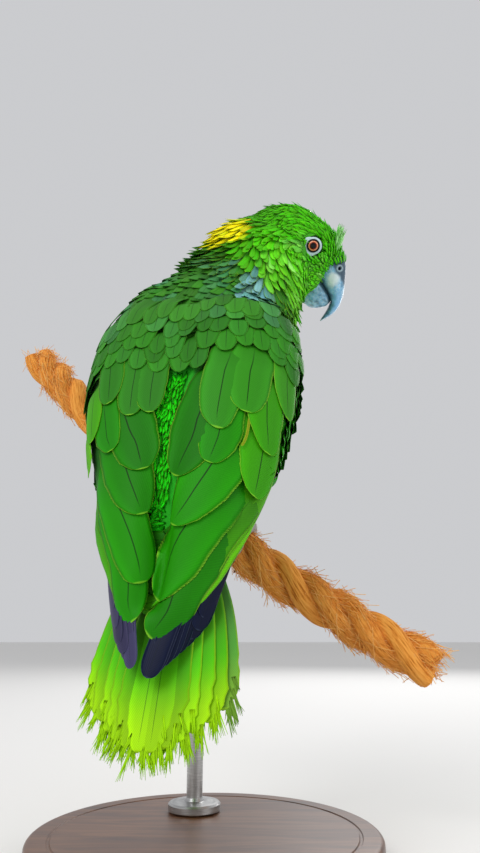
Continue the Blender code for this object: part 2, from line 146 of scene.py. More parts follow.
def linear(code):
    """An sRGB hex colour such as 4fb80c, as linear red, green, blue."""
    parts = [int(code[i:i + 2], 16) / 255 for i in (0, 2, 4)]
    return np.array([c / 12.92 if c <= 0.04045 else ((c + 0.055) / 1.055) ** 2.4 for c in parts])


def hex4(code):
    return (*linear(code), 1.0)


def mesh_arrays(mesh):
    """Vertices in millimetres and triangles of a Blender mesh."""
    co = np.empty(len(mesh.vertices) * 3)
    mesh.vertices.foreach_get("co", co)
    mesh.calc_loop_triangles()
    tris = np.empty(len(mesh.loop_triangles) * 3, int)
    mesh.loop_triangles.foreach_get("vertices", tris)
    return co.reshape(-1, 3) / MM, tris.reshape(-1, 3)


def joined(*parts):
    """Several pairs of points and faces as one."""
    points, faces = zip(*parts)
    starts = np.cumsum([0, *(len(some) for some in points[:-1])])
    return np.concatenate(points), np.concatenate([some + start for some, start in zip(faces, starts)])


def cad_mesh(*names):
    """Vertices in millimetres and triangles of some of the frame's nodes."""
    return joined(*(mesh_arrays(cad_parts[name].data) for name in names))


def tree_of(points, faces):
    return BVHTree.FromPolygons([tuple(p) for p in points], [tuple(int(i) for i in f) for f in faces])


def linked(name, data):
    """A new object of the scene."""
    made = bpy.data.objects.new(name, data)
    bpy.context.scene.collection.objects.link(made)
    return made


def new_object(name, points, faces, material, smooth=True):
    """A mesh piece from points in millimetres, at the origin."""
    mesh = bpy.data.meshes.new(name)
    mesh.from_pydata([tuple(p) for p in np.asarray(points) * MM], [], [tuple(f) for f in faces])
    if smooth:
        mesh.shade_smooth()
    mesh.materials.append(material)
    return linked(name, mesh)


def dress(mesh, material):
    """Swap a mesh's material and shade it smooth."""
    mesh.shade_smooth()
    mesh.materials.clear()
    mesh.materials.append(material)


def mark(mesh, name, values, kind="FLOAT"):
    """Keep a value for each point of a mesh under a name that its material reads."""
    field = {"FLOAT": "value", "FLOAT_VECTOR": "vector", "FLOAT_COLOR": "color"}[kind]
    mesh.attributes.new(name, kind, "POINT").data.foreach_set(field, np.ravel(values))


def settle(piece, slot, *replaced):
    """Tie a finished piece to the frame."""
    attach(piece, BODY)
    if replaced:
        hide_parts(*replaced)


def modify(piece, kind, **settings):
    modifier = piece.modifiers.new(kind, kind)
    for key, value in settings.items():
        setattr(modifier, key, value)


def applied(piece):
    """Swap a piece's mesh for its evaluated one and drop its modifiers."""
    graph = bpy.context.evaluated_depsgraph_get()
    mesh = bpy.data.meshes.new_from_object(piece.evaluated_get(graph))
    piece.modifiers.clear()
    piece.data = mesh
    return piece


def add_faces(edit, points, faces):
    """Add points in metres and their faces to an edit mesh."""
    start = len(edit.verts)
    for point in points:
        edit.verts.new(point)
    edit.verts.ensure_lookup_table()
    for face in faces:
        edit.faces.new([edit.verts[start + int(i)] for i in face])


def clean(piece, weld_mm=None):
    """Merge points that lie together, where a distance is given, and turn the faces outwards."""
    edit = bmesh.new()
    edit.from_mesh(piece.data)
    if weld_mm:
        bmesh.ops.remove_doubles(edit, verts=edit.verts, dist=weld_mm * MM)
    bmesh.ops.recalc_face_normals(edit, faces=edit.faces)
    edit.to_mesh(piece.data)
    edit.free()


def band_faces(rings, columns, closed=False):
    """Quads between neighbouring rings of points."""
    faces = []
    for i in range(rings if closed else rings - 1):
        near, far = i * columns, (i + 1) % rings * columns
        for k in range(columns):
            j = (k + 1) % columns
            faces.append((near + k, near + j, far + j, far + k))
    return faces


# ---------------------------------------------------------------- materials

class Web:
    """The nodes of one tree; a socket is filled with a value or with another node's output."""

    def __init__(self, tree):
        self.tree = tree

    def add(self, kind, sockets=None, **settings):
        node = self.tree.nodes.new(kind)
        for key, value in settings.items():
            setattr(node, key, value)
        for key, value in (sockets or {}).items():
            if isinstance(value, bpy.types.NodeSocket):
                self.tree.links.new(value, node.inputs[key])
            else:
                node.inputs[key].default_value = value
        return node

    def out(self, kind, sockets=None, output=0, **settings):
        return self.add(kind, sockets, **settings).outputs[output]

    def math(self, operation, *values):
        return self.out("ShaderNodeMath", dict(enumerate(values)), operation=operation)

    def vector(self, operation, *values):
        return self.out("ShaderNodeVectorMath", dict(enumerate(values)), operation=operation)

    def scaled(self, vector, factor):
        return self.out("ShaderNodeVectorMath", {0: vector, 3: factor}, operation="SCALE")

    def fit(self, value, low, high, start=0.0, end=1.0):
        """A value carried from one range to another and held inside it."""
        return self.out("ShaderNodeMapRange", {0: value, 1: low, 2: high, 3: start, 4: end})

    def mixed(self, factor, colour, code):
        """A colour that turns into a hex colour by a factor."""
        return self.out("ShaderNodeMix", {0: factor, 6: colour, 7: hex4(code)}, 2, data_type="RGBA")

    def ramp(self, value, stops):
        """A colour ramp over (place, hex colour) stops."""
        node = self.add("ShaderNodeValToRGB", {0: value})
        elements = node.color_ramp.elements
        while len(elements) < len(stops):
            elements.new(0.5)
        for element, (at, code) in zip(elements, stops):
            element.position, element.color = at, hex4(code)
        return node.outputs[0]

    def attribute(self, name, output="Fac"):
        return self.out("ShaderNodeAttribute", output=output, attribute_name=name)

    def here(self, stretch=None):
        """Object coordinates, stretched along the axes where asked."""
        spot = self.out("ShaderNodeTexCoord", output="Object")
        return self.out("ShaderNodeMapping", {"Vector": spot, "Scale": stretch}) if stretch else spot

    def noise(self, size_mm, detail, where=None, **sockets):
        vector = self.here() if where is None else where
        sockets = {"Vector": vector, "Scale": 1 / (size_mm * MM), "Detail": detail, **sockets}
        return self.out("ShaderNodeTexNoise", sockets)

    def cells(self, size_mm, **settings):
        sockets = {"Vector": self.here(), "Scale": 1 / (size_mm * MM)}
        return self.out("ShaderNodeTexVoronoi", sockets, **settings)


class Look(Web):
    """A Principled material whose shader has plain values, named as on the shader with _ for a space."""

    def __init__(self, name, roughness, **values):
        self.material = bpy.data.materials.new(name)
        self.material.use_nodes = True
        super().__init__(self.material.node_tree)
        self.shader = self.tree.nodes["Principled BSDF"]
        for key, value in {"Roughness": roughness, **values}.items():
            self.shader.inputs[key.replace("_", " ")].default_value = value

    def finish(self, colour, relief=None, depth_mm=0.0, strength=1.0):
        """Join a colour and a relief, from 0 to 1 over a depth, to the shader."""
        self.tree.links.new(colour, self.shader.inputs["Base Color"])
        if relief is not None:
            sockets = {"Height": relief, "Strength": strength, "Distance": depth_mm * MM}
            self.tree.links.new(self.out("ShaderNodeBump", sockets), self.shader.inputs["Normal"])
        return self.material


def feather_material(name, roughness, shaft, rim, rim_colour, barb_mm, sheen, glow=0.10, painted_root_shade=0.52):
    """Keratin vanes: satin, dark shaft, combed barbs, thin paler rim, painted shade at the root, painted
    sheen.
    """
    look = Look(name, roughness, Specular_IOR_Level=0.12, Sheen_Weight=sheen, Sheen_Roughness=0.4,
                Sheen_Tint=hex4("7fc46a"))
    along, side, barb = look.add("ShaderNodeSeparateXYZ", {0: look.attribute("vane", "Vector")}).outputs
    across = look.math("ABSOLUTE", side)

    # Light to dark from feather to feather.
    spread = look.fit(look.attribute("lot"), 0.0, 1.0, 0.78, 1.2)
    colour = look.scaled(look.attribute("tint", "Color"), spread)

    # Barbs: fine combed lines that slant from the shaft to the rim.
    comb = look.fit(look.math("SINE", look.math("MULTIPLY", barb, math.tau / barb_mm)), -1.0, 1.0)
    colour = look.scaled(colour, look.fit(comb, 0.0, 1.0, 1.0 - glow, 1.0 + glow))

    # Painted shade: the root end is darkened as if in the shade of the feathers above it.
    colour = look.scaled(colour, look.fit(along, 0.05, 0.55, painted_root_shade, 1.0))

    # Painted sheen: one half of the vane is a little lighter; both halves grow lighter towards their
    # margins.
    half, margin = look.fit(side, -1.0, 1.0, 0.93, 1.07), look.fit(across, 0.45, 1.0, 0.96, 1.26)
    colour = look.scaled(colour, look.math("MULTIPLY", half, margin))

    # The rim, on the sides and round the tip.
    edge = look.math("MAXIMUM", look.fit(across, 1.0 - rim, 1.0), look.fit(along, 1.0 - rim * 0.2, 1.0))
    edge = look.math("MULTIPLY", edge, look.fit(along, 0.25, 0.6))
    colour = look.mixed(look.math("MULTIPLY", edge, 0.75), colour, rim_colour)

    # The shaft shows dark from the middle of the feather to near its tip.
    run = look.math("MULTIPLY", look.fit(along, 0.3, 0.55), look.fit(along, 0.9, 0.97, 1.0, 0.0))
    line = look.math("MULTIPLY", look.fit(across, 0.01, 0.034, 1.0, 0.0), run)
    colour = look.mixed(look.math("MULTIPLY", line, shaft), colour, "061504")
    return look.finish(colour, comb, 0.05, 0.5)


def skin_material():
    """Skin under the coat: dull, in the coat's own colours, mottled and darkened as painted shade under the
    feathers.
    """
    look = Look("down_skin_painted_shade", 0.9)
    fluff = look.noise(3.0, 4.0)
    return look.finish(look.scaled(look.attribute("tint", "Color"), look.fit(fluff, 0.0, 1.0, 0.35, 0.75)),
                       fluff, 0.3, 0.6)


def horn_material(name, stops, roughness, grain_mm, layers=()):
    """Bill and claw keratin: satin, clouded, with fine flakes."""
    look = Look(name, roughness, Specular_IOR_Level=0.5, Coat_Weight=0.15, Coat_Roughness=0.3)
    cloud = look.noise(grain_mm * 4, 5.0, Roughness=0.6)
    flakes = look.cells(grain_mm * 2.2, feature="DISTANCE_TO_EDGE")
    patchy = look.math("MULTIPLY", look.fit(flakes, 0.0, 0.12, 1.0, 0.0), cloud)
    colour = look.mixed(patchy, look.ramp(cloud, stops), "b9cdd6")
    for attribute, code in layers:
        colour = look.mixed(look.attribute(attribute), colour, code)
    return look.finish(colour, flakes, 0.12, 0.35)


def leather_material(name, stops, roughness, scale_mm, relief_mm, layers=()):
    """Bare skin: matt, pebbled into small scales."""
    look = Look(name, roughness, Specular_IOR_Level=0.35)
    cells = look.cells(scale_mm)
    colour = look.ramp(look.math("MULTIPLY_ADD", cells, 0.5, look.noise(scale_mm * 6, 4.0)), stops)
    for attribute, code in layers:
        colour = look.mixed(look.attribute(attribute), colour, code)
    return look.finish(colour, cells, relief_mm, 0.8)


def eye_material():
    """Wet eye: black pupil, orange iris with a darker inner rim, a painted highlight ring and painted lid
    shadow, under a clear coat.
    """
    look = Look("wet_orange_eye", 0.3, Specular_IOR_Level=0.1, Coat_Weight=0.3, Coat_Roughness=0.03)
    jitter = look.math("MULTIPLY_ADD", look.noise(0.5, 3.0), 0.03, -0.015)
    # A pale stop near the iris's edge is a painted highlight ring, and the dark stops past the iris are
    # painted shadow of the lid.
    stops = ((0.0, "030303"), (0.17, "040303"), (0.19, "4a0d06"), (0.235, "8c2a10"), (0.265, "d9764a"),
             (0.295, "f2b48c"), (0.32, "c8683c"), (0.35, "4a2a20"), (0.375, "101218"), (1.0, "101318"))
    return look.finish(look.ramp(look.math("ADD", look.attribute("gaze"), jitter), stops))


def coir_material():
    """Coir: dry orange-brown fibres, streaked along each strand; the darkest streaks are painted shadow
    between the fibres.
    """
    look = Look("dry_coir_fibre", 0.85, Specular_IOR_Level=0.15)
    streaks = look.noise(0.9, 5.0, look.attribute("fibre", "Vector"), Roughness=0.65)
    tone = look.math("MULTIPLY_ADD", look.attribute("strand"), 0.45, streaks)
    # The darkest stop is the colour of shadow between fibres: painted shadow.
    stops = ((0.36, "8a4410"), (0.48, "cc7a2a"), (0.60, "e89c44"), (0.76, "f0ac54"), (1.0, "f8c67c"))
    return look.finish(look.ramp(tone, stops), streaks, 0.6, 0.9)


def wood_material():
    """Oiled walnut: brown, with long darker grain."""
    look = Look("oiled_walnut", 0.38, Coat_Weight=0.2, Coat_Roughness=0.3)
    grain = look.noise(60, 8.0, look.here((1.0, 9.0, 9.0)), Roughness=0.62, Distortion=0.6)
    stops = ((0.3, "3d2517"), (0.48, "5a3822"), (0.6, "6f4a2f"), (0.75, "4a2d1c"))
    return look.finish(look.ramp(grain, stops), grain, 0.15, 0.3)


def steel_material():
    """Brushed steel bar: fine lines round the bar."""
    look = Look("brushed_steel", 0.32, Metallic=1.0)
    lines = look.noise(8, 4.0, look.here((1.0, 1.0, 40.0)))
    return look.finish(look.ramp(lines, ((0.3, "9a9a9a"), (0.7, "c6c6c4"))), lines, 0.02, 0.3)


# ---------------------------------------------------------------- the bird's shape

def body_row(height):
    """The body's middle line at a height, and its section's two directions."""
    table = np.array(BODY_LINE)
    step = 3.0

    def at(h):
        return place(np.interp(h, table[:, 0], table[:, 1]), np.interp(h, table[:, 0], table[:, 2]), h)

    along = unit(at(height + step) - at(height - step))
    across = unit(np.cross(AHEAD, along))
    return at(height), across, unit(np.cross(along, across)), along


class Bed:
    """The outline of back and folded wings as a smooth sheet, addressed by height and arc length.

    Arc lengths count from the middle of the back, to the right positive.
    """
    LOW, HIGH, STEP = -92.0, 122.0, 2.0
    TURN, TURN_STEP = 150.0, 3.0

    def __init__(self):
        tree = tree_of(*cad_mesh("trunk", "neck", "wing_left", "wing_right", *FLIGHT))
        self.heights = np.arange(self.LOW, self.HIGH + 0.1, self.STEP)
        self.turns = np.arange(-self.TURN, self.TURN + 0.1, self.TURN_STEP)
        radius = np.full((len(self.heights), len(self.turns)), np.nan)
        rows = [body_row(h) for h in self.heights]
        for i, (middle, across, forward, _) in enumerate(rows):
            for k, turn in enumerate(np.radians(self.turns)):
                way = across * math.sin(turn) - forward * math.cos(turn)
                start = middle + way * 120.0
                hit = tree.ray_cast(Vector(start), Vector(-way), 120.0)[0]
                if hit is not None:
                    radius[i, k] = (np.array(hit) - middle) @ way
        self.fill(radius)
        for _ in range(8):
            padded = np.pad(radius, 1, mode="edge")
            radius = (padded[:-2, 1:-1] + padded[2:, 1:-1] + padded[1:-1, :-2] + padded[1:-1, 2:]
                      + 2 * padded[1:-1, 1:-1]) / 6
        self.points = np.empty((*radius.shape, 3))
        turns = np.radians(self.turns)[:, None]
        for i, (middle, across, forward, _) in enumerate(rows):
            ways = across * np.sin(turns) - forward * np.cos(turns)
            self.points[i] = middle + ways * radius[i][:, None]
        gaps = np.linalg.norm(np.diff(self.points, axis=1), axis=2)
        arcs = np.concatenate([np.zeros((len(gaps), 1)), np.cumsum(gaps, axis=1)], axis=1)
        self.arcs = arcs - arcs[:, [len(self.turns) // 2]]
        self.normals = unit(np.cross(np.gradient(self.points, axis=1), np.gradient(self.points, axis=0)))
        outward = self.points - np.array([r[0] for r in rows])[:, None, :]
        self.normals *= np.sign((self.normals * outward).sum(-1, keepdims=True))

    @staticmethod
    def fill(radius):
        """Holes take their row's nearest values, and empty rows shrink from the row above."""
        for i in range(len(radius) - 1, -1, -1):
            known = np.flatnonzero(~np.isnan(radius[i]))
            if len(known) > 4:
                radius[i] = np.interp(np.arange(radius.shape[1]), known, radius[i][known])
            elif i + 1 < len(radius):
                radius[i] = radius[i + 1] * 0.96

    def arc(self, height, turn):
        """Arc length of an angle in degrees at a height."""
        i = int(np.clip((height - self.LOW) / self.STEP, 0, len(self.heights) - 1))
        return float(np.interp(turn, self.turns, self.arcs[i]))

    def at(self, heights, arcs):
        """Points and normals for arrays of heights and arc lengths."""
        rows = np.clip((np.asarray(heights) - self.LOW) / self.STEP, 0, len(self.heights) - 1.001)
        points, normals = np.empty((len(rows), 3)), np.empty((len(rows), 3))
        for n, (row, arc) in enumerate(zip(rows, arcs)):
            i = int(row)
            t = row - i
            point, normal = np.zeros(3), np.zeros(3)
            for j, weight in ((i, 1 - t), (i + 1, t)):
                k = np.interp(arc, self.arcs[j], np.arange(len(self.turns)))
                m = min(int(k), len(self.turns) - 2)
                u = k - m
                point += weight * (self.points[j, m] * (1 - u) + self.points[j, m + 1] * u)
                normal += weight * (self.normals[j, m] * (1 - u) + self.normals[j, m + 1] * u)
            points[n], normals[n] = point, normal
        return points, unit(normals)


def head_axes():
    """The head's facing, crown and right directions."""
    side = np.array((-math.sin(EYE_AXIS_TURN) * math.cos(EYE_AXIS_DIP),
                     -math.cos(EYE_AXIS_TURN) * math.cos(EYE_AXIS_DIP), -math.sin(EYE_AXIS_DIP)))
    level = unit(np.cross(UP, side))
    rise = unit(np.cross(side, level))
    facing = level * math.cos(BILL_DIP) - rise * math.sin(BILL_DIP)
    crown = level * math.sin(BILL_DIP) + rise * math.cos(BILL_DIP)
    return facing, crown, side


def box_middle(node):
    low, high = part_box(node)
    return (np.array(low) + np.array(high)) / 2 / MM


FACING, CROWN, HEAD_RIGHT = head_axes()
EYE_LEFT, EYE_RIGHT = box_middle("eye_left"), box_middle("eye_right")
EYE_MIDDLE = (EYE_LEFT + EYE_RIGHT) / 2
EYE_RADIUS = 5.6


def head_place(ahead, up, side):
    """A place given in the head's own frame, from the middle between the eyes."""
    return EYE_MIDDLE + FACING * ahead + CROWN * up + HEAD_RIGHT * side


def head_spot(point):
    """How far ahead, up and to the right a place lies in the head's frame."""
    return tuple((point - EYE_MIDDLE) @ way for way in (FACING, CROWN, HEAD_RIGHT))


BILL_BASE = head_place(19.0, -10.0, 0.0)
NAPE_PATCH, NAPE_REACH = np.array((0.0, -1.5, 321.0)), np.array((16.0, 22.0, 15.5))
# The middle of the painted blue-grey sheen at the right shoulder.
SHEEN_PATCH = np.array((22.5, -22.0, 266.5))


def flow_line():
    """Points and directions from the bill over the head and neck to the tail."""
    stops = [head_place(14.0, -6.0, 0.0), head_place(-14.0, -6.0, 0.0)]
    stops += [place(*row) for row in reversed(NECK_LINE[:3])]
    stops += [place(row[1], row[2], row[0]) for row in reversed(BODY_LINE) if row[0] < 110]
    points, ways = [], []
    for a, b in zip(stops, stops[1:]):
        count = max(2, int(np.linalg.norm(b - a) / 4))
        for i in range(count):
            points.append(a + (b - a) * i / count)
            ways.append(unit(b - a))
    return np.array(points), np.array(ways)


FLOW_POINTS, FLOW_WAYS = flow_line()


def flow(point, normal):
    """The lie of the coat at a point of the skin: from bill to tail."""
    gap = ((FLOW_POINTS - point) ** 2).sum(1)
    weight = np.exp(-(gap - gap.min()) / (2 * 20.0 ** 2))
    way = (FLOW_WAYS * weight[:, None]).sum(0) / weight.sum()
    from_bill = point - BILL_BASE
    near = math.exp(-(np.linalg.norm(from_bill) / 34.0) ** 2)
    way = unit(way) * (1 - near) + unit(from_bill) * near
    if above_collar(point) > -6.0:
        # The turned neck draws the feathers of its near side down and forwards.
        turned = ease(4.0, 18.0, point[0]) * ease(18.0, 36.0, np.linalg.norm(point - EYE_MIDDLE))
        turned *= 0.85 * ease(0.25, -0.35, normal[1]) * ease(0.55, -0.1, normal[2])
        way = way * (1 - turned) + np.array((0.60, 0.0, -0.80)) * turned
    ahead, up, _ = head_spot(point)
    way = way - FACING * 1.6 * ease(9.0, 15.0, ahead) * ease(3.0, -3.0, up)
    way = way - normal * (way @ normal)
    return unit(way)


# ---------------------------------------------------------------- markings

CROWN_GREEN, CHEEK_GREEN, NECK_GREEN = linear("4cd000"), linear("66e41a"), linear("44a00a")
PALE_TIP, TUFT_GREEN, NAPE_YELLOW = linear("a8f478"), linear("a4ee92"), linear("fff000")
# The blue-grey is painted sheen.
MANTLE_GREEN, SHEEN_BLUE_GREY, WING_GREEN = linear("367e1e"), linear("78b0b4"), linear("1c7e00")
# The rim lime is painted rim light on the wings' outer feathers.
RIM_LIGHT_LIME, STRIP_EMERALD, STREAK_YELLOW = linear("74d408"), linear("1ee00a"), linear("8a9c14")
BREAST_GREEN, BELLY_GREEN, TAIL_ROOT = linear("5c9e26"), linear("7fb83c"), linear("46901a")
TAIL_GREEN, TAIL_LIME, VENT_GREEN = linear("46b002"), linear("96d000"), linear("8cc02a")
# The plum is a painted lit tone for the left wing's primaries.
NAVY, LIT_PLUM, OUTER_GREY = linear("08102a"), linear("464264"), linear("44683c")


def noise3(point, size):
    """Cheap smooth noise, about -1 to 1, from sines of a place in millimetres."""
    x, y, z = np.asarray(point) / size
    return (math.sin(x * 2.1 + 1.3 * math.sin(y * 1.7 + z))
            + math.sin(y * 2.3 + 1.1 * math.sin(z * 1.9 + x))
            + math.sin(z * 2.0 + 1.2 * math.sin(x * 1.6 - y))) / 3


class Spine:
    """The body's middle line as dense rows, to find where on the body a place lies."""
    LOW = -110.0

    def __init__(self):
        self.heights = np.arange(self.LOW, 150.0, 1.0)
        rows = [body_row(height) for height in self.heights]
        self.middle, self.across, self.forward, self.along = (np.array(part) for part in zip(*rows))

    def row(self, heights):
        return np.clip(heights - self.LOW, 0, len(self.heights) - 1).astype(int)

    def where(self, points):
        """Heights along the line and angles from the middle of the back, in degrees."""
        points = np.atleast_2d(points)
        heights = (points - ANCHOR) @ UP
        for _ in range(5):
            row = self.row(heights)
            over = points - self.middle[row] - self.along[row] * (heights - self.heights[row])[:, None]
            heights = heights + 0.7 * (over * self.along[row]).sum(1)
        row = self.row(heights)
        off = points - self.middle[row]
        turns = np.degrees(np.arctan2((off * self.across[row]).sum(1), -(off * self.forward[row]).sum(1)))
        return heights, turns


SPINE = Spine()


def sheen_amount(point):
    """How much painted blue-grey sheen the coat takes: a patch where the neck meets the right shoulder."""
    off = point - SHEEN_PATCH
    return 0.92 * ease(16.0, 7.0, math.sqrt(off @ off) + 5.0 * noise3(point, 7.0))


def above_collar(point):
    """How far a place lies above the slanting edge where the neck's ruff meets the mantle."""
    return point[2] + 0.76 * point[0] - 297.5 + 3.0 * noise3(point, 8.0)


def nape_gap(point):
    """How far a place lies from the yellow patch's middle; the patch ends near 1."""
    return np.linalg.norm((point - NAPE_PATCH) / NAPE_REACH)


def markings(region, point, height, turn):
    """The coat's colour at a place, with its painted sheen; skin and feathers share it."""
    if region == "head" or (region == "neck" and above_collar(point) > 0.0):
        ahead, up, _ = head_spot(point)
        colour = blend(blend(CROWN_GREEN, NECK_GREEN, 0.2), CROWN_GREEN, ease(-18.0, 6.0, ahead))
        colour = blend(colour, CHEEK_GREEN, ease(-6.0, -18.0, up) * ease(-30.0, -6.0, ahead))
        colour = blend(colour, NECK_GREEN, ease(-22.0, -48.0, ahead))
        streak = max(0.0, noise3(point, 2.6)) * ease(6.0, -8.0, up) * ease(-28.0, -4.0, ahead)
        colour = blend(colour, PALE_TIP, 0.8 * streak)
        colour = blend(colour, BREAST_GREEN, 0.5 * ease(-16.0, -34.0, up) * ease(-40.0, -10.0, ahead))
        return blend(NAPE_YELLOW, colour, ease(0.85, 1.15, nape_gap(point) + 0.18 * noise3(point, 5.0)))
    if region.startswith("thigh"):
        return BELLY_GREEN
    breast = blend(BREAST_GREEN, BELLY_GREEN, ease(70.0, 10.0, height))
    breast = blend(breast, VENT_GREEN, ease(10.0, -30.0, height))
    back = blend(MANTLE_GREEN, WING_GREEN, ease(85.0, 40.0, height))
    back = blend(back, STRIP_EMERALD, ease(30.0, 20.0, abs(turn + 5.0)) * ease(64.0, 50.0, height))
    back = blend(back, TAIL_GREEN, ease(-15.0, -40.0, height))
    # Painted sheen: blue-grey clouds over the mantle and the patch at the right shoulder.
    cloud = max(0.0, noise3(point, 9.0)) * 0.25 * ease(60.0, 90.0, height)
    back = blend(back, SHEEN_BLUE_GREY, max(cloud, sheen_amount(point)))
    return blend(back, breast, ease(95.0, 135.0, abs(turn)))


# ---------------------------------------------------------------- feathers

class Coat:
    """Collects closed vanes and turns them into one piece."""

    def __init__(self, steps, halves, shown=(0.0, 1.0), crowd=1.0):
        self.steps, self.halves = steps, halves
        self.u = 1 - (1 - np.linspace(0.0, 1.0, steps + 1)) ** crowd
        # The share along the vane that the material reads; it sets the painted root shade, the rim and the
        # shaft.
        self.shown = shown[0] + (shown[1] - shown[0]) * self.u
        self.v = np.linspace(-1.0, 1.0, 2 * halves + 1)
        self.points, self.vane, self.tint, self.lot, self.map = [], [], [], [], []
        self.faces = self.template()

    def template(self):
        """Quads of one vane: an upper and an under sheet that share their rim."""
        rows, columns = self.steps + 1, 2 * self.halves + 1
        upper = np.arange(rows * columns).reshape(rows, columns)
        under = upper.copy()
        count = (rows - 2) * (columns - 2)
        under[1:-1, 1:-1] = rows * columns + np.arange(count).reshape(rows - 2, columns - 2)
        faces = []
        for i in range(rows - 1):
            for k in range(columns - 1):
                faces.append((upper[i, k], upper[i, k + 1], upper[i + 1, k + 1], upper[i + 1, k]))
                faces.append((under[i, k], under[i + 1, k], under[i + 1, k + 1], under[i, k + 1]))
        self.size = rows * columns + count
        return np.array(faces)

    def add(self, line, side, up, half, thick, camber, tint, lot, home, length, patch=0.003):
        """One vane along a line of points; half is its half width at each step."""
        v = self.v[None, :, None]
        reach = np.asarray(half)[:, None, None]
        sheet = line[:, None, :] + side[:, None, :] * reach * v - up[:, None, :] * camber * reach * v ** 2
        self.store(sheet, up, half, thick, tint, lot, home, length, patch)

    def store(self, sheet, up, half, thick, tint, lot, home, length, patch=0.003):
        """Close a sheet of points with an under side and keep its colours and its map."""
        def both(upper, under=None):
            under = upper if under is None else under
            wide = upper.shape[-1]
            return np.concatenate([upper.reshape(-1, wide), under[1:-1, 1:-1].reshape(-1, wide)])

        u, v = np.meshgrid(self.u, self.v, indexing="ij")
        barb = u * length + np.abs(v) * np.asarray(half)[:, None] * 1.1
        tint = np.asarray(tint)
        tint = tint if tint.ndim == 1 else tint[:, None, :]
        self.points.append(both(sheet, sheet - up[:, None, :] * thick))
        self.vane.append(both(np.stack([np.broadcast_to(self.shown[:, None], u.shape), v, barb], -1)))
        self.tint.append(both(np.broadcast_to(tint, (*u.shape, 3))))
        self.lot.append(np.full(self.size, lot))
        self.map.append(both(np.stack([home[0] + v * patch / 2, home[1] + (u - 0.5) * patch], -1)))

    def piece(self, name, material, spread=True):
        """The collected vanes as a mesh object with its attributes and its bake map."""
        starts = np.arange(len(self.points)) * self.size
        faces = (self.faces[None] + starts[:, None, None]).reshape(-1, 4)
        made = new_object(name, np.concatenate(self.points), faces, material)
        mesh = made.data
        colours = np.concatenate(self.tint)
        mark(mesh, "tint", np.concatenate([colours, np.ones((len(colours), 1))], 1), "FLOAT_COLOR")
        mark(mesh, "vane", np.concatenate(self.vane), "FLOAT_VECTOR")
        mark(mesh, "lot", np.concatenate(self.lot))
        spots = np.concatenate(self.map)
        if spread:
            low, high = spots.min(0), spots.max(0)
            spots = 0.01 + (spots - low) / np.maximum(high - low, 1e-6) * 0.98
        corner = np.empty(len(mesh.loops), int)
        mesh.loops.foreach_get("vertex_index", corner)
        mesh.uv_layers.new(name="OFBake").data.foreach_set("uv", spots[corner].ravel())
        return made


def outline(u, roundness, root_width):
    """Half width of a vane along its length: a slim root, a full middle and a round tip."""
    body = root_width + (1 - root_width) * np.sin(np.clip(u / 0.5, 0, 1) * math.pi / 2)
    tip = (1 - np.clip((u - 1 + roundness) / roundness, 0, 1) ** 2.4) ** (1 / 2.1)
    return body * np.maximum(tip, 0.04)


def walk(tree, start, way, length, steps):
    """A line of points over a surface, from a place in a direction, with normals and directions."""
    rows, spot, heading, normal = [], np.array(start, float), np.array(way, float), None
    for _ in range(steps + 1):
        found, face_normal, _, _ = tree.find_nearest(Vector(spot))
        fresh = np.array(face_normal)
        normal = fresh if normal is None else unit(normal * 0.5 + fresh * 0.5)
        heading = unit(heading - normal * (heading @ normal))
        rows.append((np.array(found), normal, heading))
        spot = np.array(found) + heading * length / steps
    return (np.array(part) for part in zip(*rows))


def face_cross(points, faces):
    """Normals of triangles, as long as twice their areas."""
    corners = points[faces]
    return np.cross(corners[:, 1] - corners[:, 0], corners[:, 2] - corners[:, 0])


def vertex_normals(points, faces):
    """Area-weighted normals of a triangle mesh."""
    normals = np.zeros_like(points)
    cross = face_cross(points, faces)
    for k in range(3):
        np.add.at(normals, faces[:, k], cross)
    return unit(normals)


def make_skin(settings):
    """One closed skin inside the fleshy nodes, by the coat's depth."""
    points, faces = cad_mesh(*(name for name in FLESH if not name.startswith("wing")))
    edit = bmesh.new()
    add_faces(edit, points * MM, faces)
    for name in ("wing_left", "wing_right"):
        add_upper_wing(edit, name)
    bmesh.ops.remove_doubles(edit, verts=edit.verts, dist=0.01 * MM)
    mesh = bpy.data.meshes.new("skin")
    edit.to_mesh(mesh)
    edit.free()
    skin = linked("skin", mesh)
    modify(skin, "REMESH", mode="VOXEL", voxel_size=settings.skin_voxel)
    modify(skin, "SMOOTH", factor=0.5, iterations=8)
    applied(skin)
    sink_skin(skin.data, settings)
    return skin


def add_upper_wing(edit, name):
    """The part of a wing that the trunk backs; below it only flight feathers go on."""
    points, faces = cad_mesh(name)
    wing = bmesh.new()
    add_faces(wing, points * MM, faces)
    bmesh.ops.remove_doubles(wing, verts=wing.verts, dist=0.01 * MM)
    cut = place(0.0, 0.0, 8.0) * MM
    result = bmesh.ops.bisect_plane(wing, geom=[*wing.verts, *wing.edges, *wing.faces], plane_co=cut,
                                    plane_no=(0, 0, 1), clear_inner=True)
    rim = [e for e in result["geom_cut"] if isinstance(e, bmesh.types.BMEdge)]
    bmesh.ops.contextual_create(wing, geom=rim)
    bmesh.ops.triangulate(wing, faces=wing.faces)
    faces = [[vert.index for vert in face.verts] for face in wing.faces]
    add_faces(edit, [vert.co for vert in wing.verts], faces)
    wing.free()


